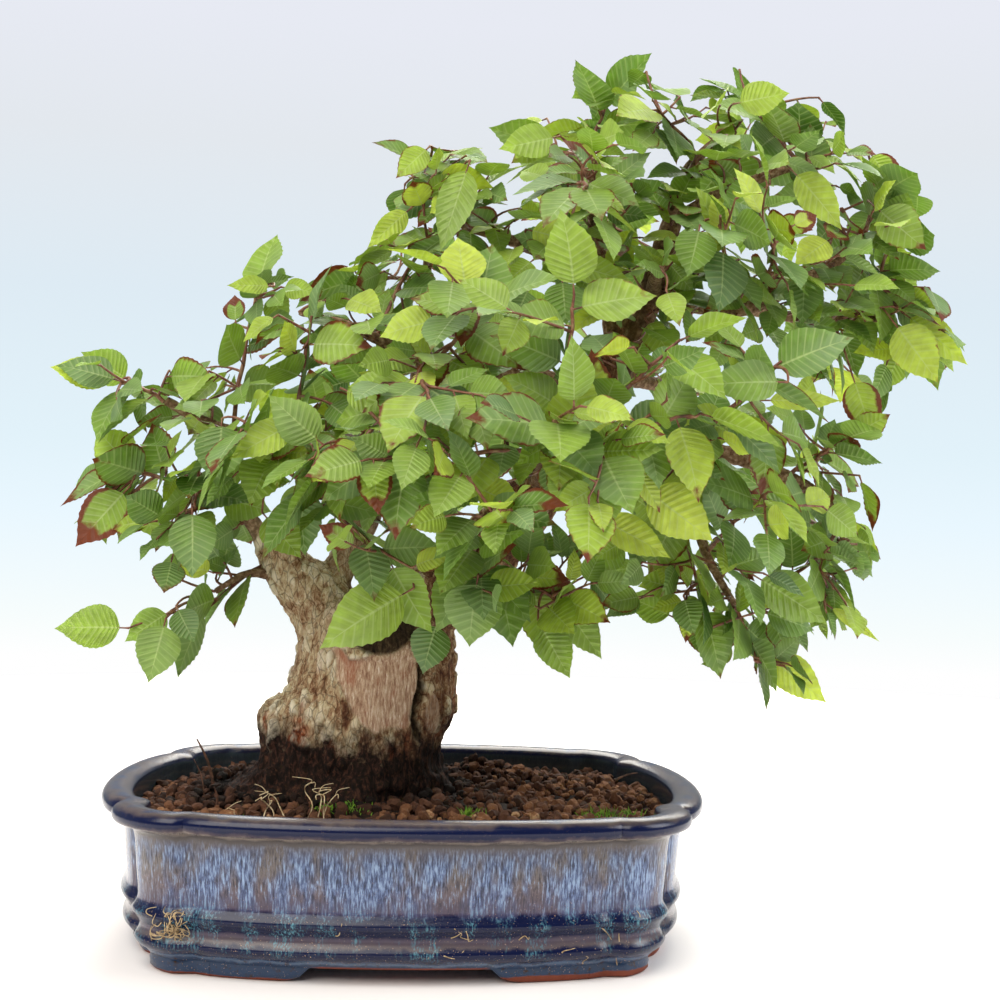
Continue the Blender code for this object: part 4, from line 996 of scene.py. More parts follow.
def column_rings():
    """Sections of the trunk column with five root swellings at its foot."""
    rings = []
    for height, cx, cy, hx, hy in smooth_line(TRUNK_SECTIONS, 4):
        swell = max(0.0, min(1.0, (0.104 - height) / 0.030)) * 0.10
        ring = []
        for side in range(COLUMN_SIDES):
            angle = 2.0 * math.pi * side / COLUMN_SIDES
            across, deep = math.cos(angle), math.sin(angle)
            spread = abs(across / hx) ** COLUMN_POWER + abs(deep / hy) ** COLUMN_POWER
            radius = spread ** (-1.0 / COLUMN_POWER) * (1.0 + swell * math.cos(ROOT_COUNT * angle + 0.6))
            ring.append(Vector((cx + radius * across, cy + radius * deep, height)))
        rings.append(ring)
    return rings


def near_line(x, z, line):
    best = 1.0
    for (ax, az), (bx, bz) in zip(line, line[1:]):
        dx, dz = bx - ax, bz - az
        t = max(0.0, min(1.0, ((x - ax) * dx + (z - az) * dz) / (dx * dx + dz * dz)))
        best = min(best, math.hypot(x - ax - dx * t, z - az - dz * t))
    return best


def smooth_step(value, low, high):
    t = max(0.0, min(1.0, (value - low) / (high - low)))
    return t * t * (3.0 - 2.0 * t)


def carve_bark(points, normals, bark):
    """Move each point of the bark in or out, and note what shows there."""
    stations = np.array([row for path in LIMBS.values() for row in smooth_line(path, LIMB_STEPS)])
    masks = {"wood": [], "scar": [], "thick": [], "plate": []}
    moved = points.copy()
    for i, (p, n) in enumerate(zip(points, normals)):
        point, normal = Vector(p), Vector(n)
        x, y, z = p
        on_column = z < COLUMN_TOP and abs(x + 0.030) < 0.085
        gap = np.linalg.norm(stations[:, :3] - p, axis=1) - stations[:, 3]
        radius = stations[int(np.argmin(gap)), 3]
        if on_column and z < 0.185:
            radius = 0.045
        share = min(1.0, radius / 0.040) ** 0.8
        depth = bark.relief * share
        warp = noise.noise_vector(point * 60.0) * 0.0022
        cell = Vector((
            (x + warp.x) / bark.flake, (y + warp.y) / bark.flake, (z + warp.z) / (bark.flake * 1.9)))
        distances, seeds = noise.voronoi(cell)
        plate = smooth_step(distances[1] - distances[0], 0.0, 0.34)
        level = noise.cell(seeds[0] * 7.3)
        long_grain = noise.fractal(Vector((x * 150.0, y * 150.0, z * 48.0)), 1.0, 2.0, 3)
        rough = noise.fractal(point * 520.0, 0.9, 2.1, 3)
        lumps = noise.noise(point * 26.0 + Vector((3.1, 0, 0))) + 0.6 * noise.noise(point * 58.0)
        move = depth * (plate * (0.55 + 0.75 * level) - 0.55) + depth * 0.62 * long_grain
        move += 0.00042 * share ** 0.5 * rough + 0.0024 * share * share * lumps
        for middle, tall, wide in KNOTS:
            move += tall * math.exp(-((point - Vector(middle)).length / wide) ** 2)
        front = smooth_step(-normal.y, 0.15, 0.45) if y < 0.0 and on_column else 0.0
        wobble = noise.noise(point * 110.0) * 0.0018
        scar = wood = 0.0
        if front > 0.0:
            away = math.hypot((x - SCAR_MIDDLE[0]) / SCAR_HALF[0], (z - SCAR_MIDDLE[1]) / SCAR_HALF[1])
            away += wobble * 30.0
            scar = (1.0 - smooth_step(away, 0.90, 1.02)) * front
            lip = math.exp(-((away - 1.13) / 0.10) ** 2) * front
            reach = near_line(x, z, PANEL_CORNERS + PANEL_CORNERS[:1])
            sign = 1.0 if inside_outline(x, z, PANEL_CORNERS) else -1.0
            wood = smooth_step(sign * reach + wobble * 0.6, -0.0006, 0.0010) * front * (1.0 - scar)
            rim = math.exp(-((sign * reach + 0.0018) / 0.0013) ** 2) * front * (1.0 - scar)
            fibre = noise.fractal(Vector((x * 420.0, y * 200.0, z * 95.0)), 1.0, 2.0, 3)
            flat = max(scar, wood)
            move = move * (1.0 - flat) + flat * 0.00030 * fibre - wood * 0.0011 - scar * 0.0030
            move += 0.0012 * lip + 0.0008 * rim
            crack = near_line(x, z, CRACK_LINE)
            width = 0.0022 + 0.0009 * noise.noise(point * 90.0)
            split = math.exp(-(crack / width) ** 2) * front
            move -= 0.0065 * split
            scar = max(scar, smooth_step(split, 0.25, 0.75))
            knot = math.hypot((x - OVAL_SCAR[0]) / OVAL_HALF[0], (z - OVAL_SCAR[1]) / OVAL_HALF[1])
            oval = (1.0 - smooth_step(knot, 0.85, 1.05)) * front
            move += oval * (0.0006 - move) + 0.0009 * math.exp(-((knot - 1.15) / 0.13) ** 2) * front
            wood = max(wood, oval * 0.45)
        moved[i] = p + n * move
        masks["wood"].append(wood)
        masks["scar"].append(scar)
        masks["thick"].append(min(1.0, radius / 0.020))
        masks["plate"].append(plate * (0.25 + 0.75 * level))
    return moved, masks


def bark_material(bark):
    """Hornbeam bark: pale corky flakes over brown, red where they fell off.

    The foot is wet and near black, thin branches are smooth grey brown, and the
    old cuts show dark heartwood and pale fibrous wood."""
    material, tree, shader, place = new_material("hornbeam_bark")
    height = add(tree, "SeparateXYZ", {0: place}, out="Z")
    wood = add(tree, "Attribute", attribute_name="wood", out="Fac")
    scar = add(tree, "Attribute", attribute_name="scar", out="Fac")
    thick = add(tree, "Attribute", attribute_name="thick", out="Fac")
    plate = add(tree, "Attribute", attribute_name="plate", out="Fac")
    long_way = add(tree, "Mapping", {0: place, "Scale": (1.0, 1.0, 0.45)})
    # Cork flecks are 1 to 3 mm, patches of fresh bark 10 to 20 mm
    flecks = add(tree, "TexNoise", {0: long_way, "Scale": 420.0, "Detail": 6.0, "Roughness": 0.72,
        "Distortion": 0.6})
    patches = add(tree, "TexNoise", {0: long_way, "Scale": 75.0, "Detail": 4.0, "Roughness": 0.6})
    cracks = add(tree, "TexVoronoi", {0: long_way, "Scale": 230.0}, feature="DISTANCE_TO_EDGE")
    # High flakes are pale, low ones brown, and painted light makes the left side paler than the right
    across = add(tree, "SeparateXYZ", {0: place}, out="X")
    side = add(tree, "MapRange", {0: across, 1: -0.085, 2: -0.005, 3: 0.20, 4: 0.0})
    high = add(tree, "Math", {0: plate, 1: 0.26, 2: side}, operation="MULTIPLY_ADD")
    mottle = add(tree, "Math", {0: patches, 1: 0.35, 2: high}, operation="MULTIPLY_ADD")
    tone = add(tree, "Math", {0: flecks, 1: 0.75, 2: mottle}, operation="MULTIPLY_ADD")
    flake = add(tree, "ValToRGB", {0: tone}, (
        (0.42, srgb("2A1A12")), (0.54, srgb("5C3A28")), (0.63, bark.brown), (0.71, srgb("A48564")),
        (0.80, bark.cream), (0.94, srgb("E6DAC0"))))
    inner = add(tree, "ValToRGB", {0: flecks}, (
        (0.35, srgb("331A12")), (0.52, bark.rust), (0.70, srgb("B98562"))))
    fresh = add(tree, "MapRange", {0: patches, 1: 0.55, 2: 0.66})
    low = add(tree, "MapRange", {0: height, 1: 0.175, 2: 0.125, 3: 0.35, 4: 1.0})
    fallen = add(tree, "Math", {0: fresh, 1: low}, operation="MULTIPLY")
    skin = add(tree, "Mix", {0: fallen, "A": flake, "B": inner}, data_type="RGBA")
    line = add(tree, "MapRange", {0: cracks, 1: 0.0, 2: 0.07, 3: 0.60, 4: 0.0})
    cracked = add(tree, "Mix", {0: line, "A": skin, "B": srgb("2A1A13")}, data_type="RGBA")
    # Thin branches are smooth, with fine pale pores
    pores = add(tree, "TexNoise", {0: place, "Scale": 420.0, "Detail": 5.0})
    thin = add(tree, "ValToRGB", {0: pores}, (
        (0.32, srgb("57402F")), (0.52, srgb("86694F")), (0.74, srgb("B49A7C"))))
    body = add(tree, "MapRange", {0: thick, 1: 0.22, 2: 0.60})
    bark_all = add(tree, "Mix", {0: body, "A": thin, "B": cracked}, data_type="RGBA")
    # Damp rises from the soil with an uneven edge
    soak = add(tree, "TexNoise", {0: place, "Scale": 62.0, "Detail": 8.0, "Roughness": 0.68})
    edge = add(tree, "Math", {0: soak, 1: 0.075, 2: height}, operation="MULTIPLY_ADD")
    damp = add(tree, "MapRange", {0: edge, 1: 0.162, 2: 0.142})
    wet_tone = add(tree, "ValToRGB", {0: flecks}, (
        (0.36, srgb("0B0604")), (0.50, bark.damp), (0.60, srgb("442A1F")),
        (0.74, srgb("6A452F"))))
    soaked = add(tree, "Mix", {0: damp, "A": bark_all, "B": wet_tone}, data_type="RGBA")
    # Bare wood: fibres 0.5 mm wide, grey pink with rusty stains
    along = add(tree, "Mapping", {0: place, "Scale": (1.0, 1.0, 0.16)})
    fibres = add(tree, "TexNoise", {0: along, "Scale": 850.0, "Detail": 5.0, "Roughness": 0.75})
    fibre_tone = add(tree, "ValToRGB", {0: fibres}, (
        (0.30, srgb("765040")), (0.45, srgb("AF8A70")), (0.56, bark.wood), (0.70, srgb("EFE4D2"))))
    stain = add(tree, "MapRange", {0: patches, 1: 0.54, 2: 0.66, 3: 0.0, 4: 0.55})
    stained = add(tree, "Mix", {0: stain, "A": fibre_tone, "B": srgb("9A4E2E")}, data_type="RGBA")
    with_wood = add(tree, "Mix", {0: wood, "A": soaked, "B": stained}, data_type="RGBA")
    heart = add(tree, "ValToRGB", {0: flecks}, (
        (0.35, srgb("17100A")), (0.55, srgb("3C2E1F")), (0.75, srgb("6B5A40"))))
    colour = add(tree, "Mix", {0: scar, "A": with_wood, "B": heart}, data_type="RGBA")
    gloss = add(tree, "MapRange", {0: damp, 3: 0.92, 4: 0.80})
    relief = add(tree, "Math", {0: flecks, 1: 1.0, 2: fibres}, operation="MULTIPLY_ADD")
    bump = add(tree, "Bump", {"Height": relief, "Strength": 0.8, "Distance": 0.0012})
    feed(tree, shader, {"Base Color": colour, "Roughness": gloss, "Specular IOR Level": 0.2, "Normal": bump})
    return material


class BONSAI_OT_trunk(bpy.types.Operator):
    """Fuse the column and its limbs, then carve flakes, old cuts and the crack"""
    bl_idname = "bonsai.trunk"
    bl_label = "Grow the trunk"

    def execute(self, context):
        bark = settings("bonsai_trunk")
        column = loft("column", column_rings())
        limbs = []
        for name, path in LIMBS.items():
            rows = smooth_line(path, 6)
            if name == "left_stub":
                end, before = rows[-1], rows[-5]
                back = (end[:3] - before[:3]) / np.linalg.norm(end[:3] - before[:3])
                for inset, share in ((0.0, 0.80), (0.002, 0.62), (0.005, 0.50), (0.008, 0.30)):
                    rows.append(np.array([*(end[:3] - back * inset), end[3] * share]))
            points, faces = tube(rows, 20 if path[0][3] > 0.01 else 12)
            limbs.append(mesh_piece(name, points, faces, []))
        activate(column)
        for limb in limbs:
            limb.select_set(True)
        bpy.ops.object.join()
        piece = bpy.context.active_object
        piece.name = "bark_trunk"
        step = piece.modifiers.new("fuse", "REMESH")
        step.mode = "VOXEL"
        step.voxel_size = bark.detail
        apply_all(piece)
        mesh = piece.data
        normals = np.array([v.normal for v in mesh.vertices])
        moved, masks = carve_bark(points_of(piece), normals, bark)
        mesh.vertices.foreach_set("co", moved.astype(np.float32).ravel())
        for name, values in masks.items():
            set_value(mesh, name, values)
        thin_out = piece.modifiers.new("thin_out", "DECIMATE")
        thin_out.ratio = TRUNK_FACES / (2.0 * len(mesh.polygons))
        apply_all(piece)
        mesh = piece.data
        mesh.materials.clear()
        mesh.materials.append(bark_material(bark))
        mesh.polygons.foreach_set("use_smooth", np.full(len(mesh.polygons), True))
        finish_piece(piece, ["trunk"])
        return {"FINISHED"}


# Leaves

def make_blade():
    """One blade laid flat: a grid whose rows follow the side veins.

    Gives unit places along and across, the pleat height, and the faces of a
    thin closed blade."""
    deselect()
    bpy.ops.mesh.primitive_grid_add(x_subdivisions=4, y_subdivisions=VEIN_ROWS, size=1.0)
    grid = bpy.context.active_object
    places = points_of(grid)
    faces = [tuple(p.vertices) for p in grid.data.polygons]
    bpy.data.objects.remove(grid, do_unlink=True)
    rows = np.rint((places[:, 1] + 0.5) * VEIN_ROWS).astype(int)
    across = places[:, 0] * 2.0
    share = rows / VEIN_ROWS
    stations = np.array(BLADE_OUTLINE)
    edge_at = share ** 0.92
    # Veins run forward from the rib to the edge
    along = edge_at * 0.86 + 0.14 * edge_at ** 2
    slant = 0.20 * np.sin(np.pi * np.minimum(1.0, share)) ** 0.7
    along = along - slant * (1.0 - np.abs(across)) * 0.9
    along = np.clip(along, 0.0, 1.0)
    along[rows == 0] = 0.0
    along[rows == VEIN_ROWS] = 1.0
    width = np.interp(edge_at * 0.86 + 0.14 * edge_at ** 2, stations[:, 0], stations[:, 1])
    tooth = np.where(rows % 2 == 1, 1.0, -1.0)
    rim = np.abs(across) > 0.99
    inner_rows = (rows > 1) & (rows < 2 * VEINS)
    width = width * (1.0 + np.where(rim & inner_rows, 0.020 * tooth, 0.0))
    along = along + np.where(rim & inner_rows, 0.0055 * tooth, 0.0)
    sideways = across * width
    pleat = np.where(rows % 2 == 1, -1.0, 1.0) * np.where(rim, 0.45, 1.0)
    pleat = np.where(np.abs(across) < 0.1, -0.6, pleat) * np.sin(np.pi * share) ** 0.5
    flat = np.stack([along, sideways, pleat, share, across], axis=1)
    border = rim | (rows == 0) | (rows == VEIN_ROWS)
    twin = np.arange(len(flat))
    twin[~border] = len(flat) + np.arange(int((~border).sum()))
    under = flat[~border]
    sides = np.concatenate([np.ones(len(flat)), -np.ones(len(under))])
    sides[:len(flat)][border] = 0.0
    flat = np.concatenate([flat, under])
    faces += [tuple(int(twin[i]) for i in reversed(face)) for face in faces]
    # The two end rows are single points
    merge = np.arange(len(flat))
    for row in (0, VEIN_ROWS):
        ends = np.where(rows == row)[0]
        merge[ends] = ends[len(ends) // 2]
        flat[ends[len(ends) // 2], 1] = 0.0
    used = sorted(set(int(merge[i]) for face in faces for i in face))
    index = {old: new for new, old in enumerate(used)}
    clean = []
    for face in faces:
        corners = []
        for i in face:
            corner = index[int(merge[i])]
            if corner not in corners:
                corners.append(corner)
        if len(corners) > 2:
            clean.append(tuple(corners))
    return flat[used], sides[used], clean


def blade_points(shape, sides, leaf):
    """Place the flat blade as one leaf: arched, folded, pleated and waved."""
    along, up = leaf["along"], leaf["up"]
    across = np.cross(up, along)
    across /= np.linalg.norm(across)
    up = np.cross(along, across)
    length, half = leaf["length"], leaf["half"]
    stalk = leaf["stalk"]
    s = stalk + shape[:, 0] * (1.0 - stalk)
    w = shape[:, 1] * half
    wave = leaf["wave"] * np.sin(s * 9.0 + leaf["phase"]) * np.abs(shape[:, 1]) ** 2
    curl = leaf["curl"] * length * np.clip(s - 0.55, 0.0, 1.0) ** 2
    height = -leaf["droop"] * length * s * s + leaf["fold"] * np.abs(w) + wave - curl
    height += shape[:, 2] * 0.010 * length * leaf["pleat"]
    height += sides * LEAF_HALF_THICK
    sweep = leaf["sweep"] * length * s * s
    twist = leaf["twist"] * s
    w_turned = w * np.cos(twist)
    height = height + w * np.sin(twist)
    return (leaf["base"] + np.outer(s * length, along) + np.outer(w_turned + sweep, across)
            + np.outer(height, up))


# A leaf in ten faces, along and across: its edge, then two points on the rib
ROUGH_CORNERS = (
    (0.06, 0), (0.2, 0.85), (0.45, 1), (0.75, 0.6), (1, 0), (0.75, -0.6), (0.45, -1), (0.2, -0.85),
    (0.3, 0), (0.65, 0),
)
ROUGH_FACES = (
    (0, 1, 8), (1, 2, 8), (2, 9, 8), (2, 3, 9), (3, 4, 9),
    (4, 5, 9), (5, 6, 9), (6, 8, 9), (6, 7, 8), (7, 0, 8),
)


def rough_blade(leaf, grow):
    """A plain copy of a leaf, a little larger, for testing what it would touch."""
    flat = dict(leaf, wave=0.0, pleat=0.0, half=leaf["half"] + grow, length=leaf["length"] + grow)
    shape = np.concatenate([np.array(ROUGH_CORNERS, float), np.zeros((len(ROUGH_CORNERS), 3))], axis=1)
    return blade_points(shape, np.zeros(len(shape)), flat), ROUGH_FACES


class Taken:
    """Room already taken by a leaf, with a ball round it for quick tests."""

    def __init__(self, points, faces):
        low, high = points.min(0), points.max(0)
        self.middle = (low + high) / 2.0
        self.reach = float(np.linalg.norm(high - low)) / 2.0
        self.tree = BVHTree.FromPolygons(points.tolist(), faces)


def meets_any(probe, taken, middles, reaches):
    close = np.linalg.norm(middles - probe.middle, axis=1) < reaches + probe.reach
    return any(taken[i].tree.overlap(probe.tree) for i in np.nonzero(close)[0])


def read_spray(name):
    """Leaves of one of the model's sprays, and all the points of the spray."""
    shape = bmesh.new()
    shape.from_mesh(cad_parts[name].data)
    bmesh.ops.remove_doubles(shape, verts=shape.verts[:], dist=0.000002)
    busy = [v for v in shape.verts if len(v.link_edges) >= 8]
    leaves, used = [], set()
    for first in busy:
        if first in used:
            continue
        for second in busy:
            if second is first or second in used:
                continue
            if abs((first.co - second.co).length - 2 * RIB_HALF) > 0.0003:
                continue
            ring = [e.other_vert(first).co for e in first.link_edges]
            middle = (first.co + second.co) / 2.0
            up = (first.co - second.co).normalized()
            tip = max(ring, key=lambda c: (c - middle).length)
            away = tip - middle
            along = (away - up * away.dot(up)).normalized()
            length = away.dot(along) / (1.0 - RIB_PEAK)
            across = up.cross(along)
            spread = [(c - middle) for c in ring]
            half = max(abs(c.dot(across)) for c in spread)
            wide = [c for c in spread if abs(c.dot(across)) > 0.6 * half]
            if sum(c.dot(up) for c in wide) < 0.0:
                up = -up
            base = middle - along * (RIB_PEAK * length) + up * (LEAF_DROOP * length * RIB_PEAK ** 2)
            leaves.append({
                "base": np.array(base - POT_MIDDLE), "along": np.array(along), "up": np.array(up),
                "length": length, "half": half})
            used.update((first, second))
            break
    points = np.array([v.co - POT_MIDDLE for v in shape.verts])
    shape.free()
    return leaves, points


def leaf_look(draw, place, young):
    """Shade of a leaf from old green to young yellow green, lighter towards the front as painted light, and
    how dry its edge is.
    """
    shade = draw.gauss(0.40, 0.15) + 0.35 * young
    # Painted light: leaves nearer the front are given a lighter, yellower shade
    shade += 0.10 * max(0.0, -place[1]) / 0.15
    dry = max(0.0, draw.gauss(0.10, 0.34))
    return min(1.0, max(0.0, shade)), min(1.0, dry)


def finished_leaf(draw, base, along, up, length, half, young=0.0, look=None):
    return {
        "base": np.array(base), "along": np.array(along), "up": np.array(up), "length": length, "half": half,
        "stalk": settings("bonsai_leaves").petiole, "droop": LEAF_DROOP, "fold": LEAF_FOLD,
        "wave": draw.uniform(0.0004, 0.0014), "phase": draw.uniform(0.0, 6.3),
        "pleat": draw.uniform(0.7, 1.2), "curl": draw.uniform(0.0, 0.25),
        "sweep": draw.uniform(-0.05, 0.05), "twist": draw.uniform(-0.25, 0.25),
        "look": look or leaf_look(draw, base, young)}


def leaf_material(leaves):
    """Hornbeam leaf: thin, pleated along its side veins, with a soft wax sheen.

    Light comes through it yellow green, the veins are paler, and some edges
    are scorched brown."""
    material, tree, shader, place = new_material("hornbeam_leaf")
    blade = add(tree, "UVMap", uv_map="blade")
    look = add(tree, "UVMap", uv_map="look")
    split = add(tree, "SeparateXYZ", {0: blade}, out=None)
    kind = add(tree, "SeparateXYZ", {0: look}, out=None)
    shade = add(tree, "ValToRGB", {0: kind["X"]}, (
        (0.05, leaves.deep), (0.40, leaves.middle), (0.66, srgb("A9C64C")),
        (0.92, leaves.fresh)))
    blotch = add(tree, "TexNoise", {0: place, "Scale": 160.0, "Detail": 3.0})
    uneven = add(tree, "MapRange", {0: blotch, 1: 0.3, 2: 0.7, 3: 0.80, 4: 1.12})
    mottled = add(tree, "Mix", {0: 1.0, "A": shade, "B": uneven}, data_type="RGBA", blend_type="MULTIPLY")
    # Some leaves are mixed towards a pale grey green, partly a real grey bloom and partly a painted wax
    # sheen, less so when young
    bloom = add(tree, "TexNoise", {0: place, "Scale": 34.0, "Detail": 1.0})
    painted_sheen_and_bloom = add(tree, "MapRange", {0: bloom, 1: 0.42, 2: 0.66, 3: 0.0, 4: 0.62})
    grown = add(tree, "MapRange", {0: kind["X"], 1: 0.75, 2: 0.45})
    veil = add(tree, "Math", {0: painted_sheen_and_bloom, 1: grown}, operation="MULTIPLY")
    varied = add(tree, "Mix", {0: veil, "A": mottled, "B": srgb("8FAA7E")}, data_type="RGBA")
    # Side veins lie where the row count is whole, the rib in the middle
    rows = add(tree, "Math", {0: split["X"], 1: VEINS + 0.5}, operation="MULTIPLY")
    wave = add(tree, "Math", {0: rows, 1: 0.5}, operation="SUBTRACT")
    centre = add(tree, "Math", {0: split["Y"], 1: 0.5}, operation="SUBTRACT")
    off = add(tree, "Math", {0: centre}, operation="ABSOLUTE")
    saw_even = add(tree, "Math", {0: wave}, operation="FRACT")
    peak = add(tree, "Math", {0: saw_even, 1: 0.5}, operation="SUBTRACT")
    from_vein = add(tree, "Math", {0: peak}, operation="ABSOLUTE")
    vein = add(tree, "MapRange", {0: from_vein, 1: 0.34, 2: 0.48})
    rib = add(tree, "MapRange", {0: off, 1: 0.030, 2: 0.012})
    line = add(tree, "Math", {0: vein, 1: 0.60}, operation="MULTIPLY")
    lines = add(tree, "Math", {0: line, 1: rib}, operation="MAXIMUM")
    faint = add(tree, "Math", {0: lines, 1: 0.60}, operation="MULTIPLY")
    veined = add(tree, "Mix", {0: faint, "A": varied, "B": srgb("C9D99A")}, data_type="RGBA")
    # Scorch creeps in from the edge and the tip
    border = add(tree, "Math", {0: off, 1: 2.0}, operation="MULTIPLY")
    tip = add(tree, "Math", {0: split["X"], 1: 1.05}, operation="MULTIPLY")
    outer = add(tree, "Math", {0: border, 1: tip}, operation="MAXIMUM")
    ragged = add(tree, "Math", {0: blotch, 1: 0.5, 2: outer}, operation="MULTIPLY_ADD")
    dried = add(tree, "Math", {0: kind["Y"], 1: 0.45, 2: ragged}, operation="MULTIPLY_ADD")
    burn = add(tree, "MapRange", {0: dried, 1: 1.34, 2: 1.44})
    colour = add(tree, "Mix", {0: burn, "A": veined, "B": leaves.scorch}, data_type="RGBA")
    bump = add(tree, "Bump", {"Height": from_vein, "Strength": 0.6, "Distance": 0.0016}, invert=True)
    feed(tree, shader, {"Base Color": colour, "Roughness": 0.48, "Specular IOR Level": 0.5, "Normal": bump})
    through = add(tree, "Mix", {0: 1.0, "A": colour, "B": (1.0, 1.0, 0.55)}, data_type="RGBA",
        blend_type="MULTIPLY")
    bright = add(tree, "Gamma", {0: through, "Gamma": 0.62})
    glow = add(tree, "BsdfTranslucent", {"Color": bright})
    both = add(tree, "MixShader", {0: 0.42, 1: shader.outputs[0], 2: glow})
    feed(tree, tree.nodes["Material Output"], {"Surface": both})
    return material


def shoot_material(leaves):
    """Young hornbeam shoots and leaf stalks: thin, smooth, reddish brown."""
    material, tree, shader, place = new_material("young_shoot")
    noise_value = add(tree, "TexNoise", {0: place, "Scale": 260.0, "Detail": 3.0})
    colour = add(tree, "ValToRGB", {0: noise_value}, (
        (0.30, srgb("4A2E22")), (0.50, leaves.shoot), (0.68, srgb("8F7050"))))
    feed(tree, shader, {"Base Color": colour, "Roughness": 0.55})
    return material


class Foliage:
    """Collects the leaves and twigs of one spray and makes them one piece."""

    def __init__(self, blade):
        self.shape, self.sides, self.blade_faces = blade
        self.points, self.faces, self.kinds = [], [], []
        self.blades, self.looks = [], []
        self.count = 0

    def add_tube(self, path, sides):
        points, faces = tube(path, sides)
        self.faces += [tuple(i + self.count for i in face) for face in faces]
        self.kinds += [1] * len(faces)
        self.points.append(points)
        self.blades.append(np.zeros((len(points), 2)))
        self.looks.append(np.zeros((len(points), 2)))
        self.count += len(points)

    def add_leaf(self, leaf):
        points = blade_points(self.shape, self.sides, leaf)
        self.faces += [tuple(i + self.count for i in face) for face in self.blade_faces]
        self.kinds += [0] * len(self.blade_faces)
        self.points.append(points)
        self.blades.append(np.stack([self.shape[:, 3], self.shape[:, 4] * 0.5 + 0.5], axis=1))
        self.looks.append(np.tile(leaf["look"], (len(points), 1)))
        self.count += len(points)
        stalk = leaf["stalk"] * 1.25
        rows = []
        across = np.cross(leaf["up"], leaf["along"])
        up = np.cross(leaf["along"], across / np.linalg.norm(across))
        for share, radius in ((0.0, 0.00075), (0.35, 0.0005), (0.75, 0.00045), (1.0, 0.00035)):
            s = stalk * share
            drop = -leaf["droop"] * leaf["length"] * s * s - 0.00025
            rows.append([*(leaf["base"] + leaf["along"] * (s * leaf["length"]) + up * drop), radius])
        self.add_tube(rows, 5)

    def make(self, name, materials):
        piece = mesh_piece(name, np.concatenate(self.points), self.faces, materials, self.kinds)
        mesh = piece.data
        corners = np.empty(len(mesh.loops), np.int32)
        mesh.loops.foreach_get("vertex_index", corners)
        for label, values in (("blade", self.blades), ("look", self.looks)):
            layer = mesh.uv_layers.new(name=label)
            layer.uv.foreach_set("vector", np.concatenate(values)[corners].astype(np.float32).ravel())
        return piece


def twig_rows(start, middle, end, steps, thick, thin):
    rows = []
    for step in range(steps + 1):
        t = step / steps
        place = start * (1 - t) ** 2 + middle * (2 * t * (1 - t)) + end * t ** 2
        rows.append([*place, thick + (thin - thick) * t])
    return np.array(rows)


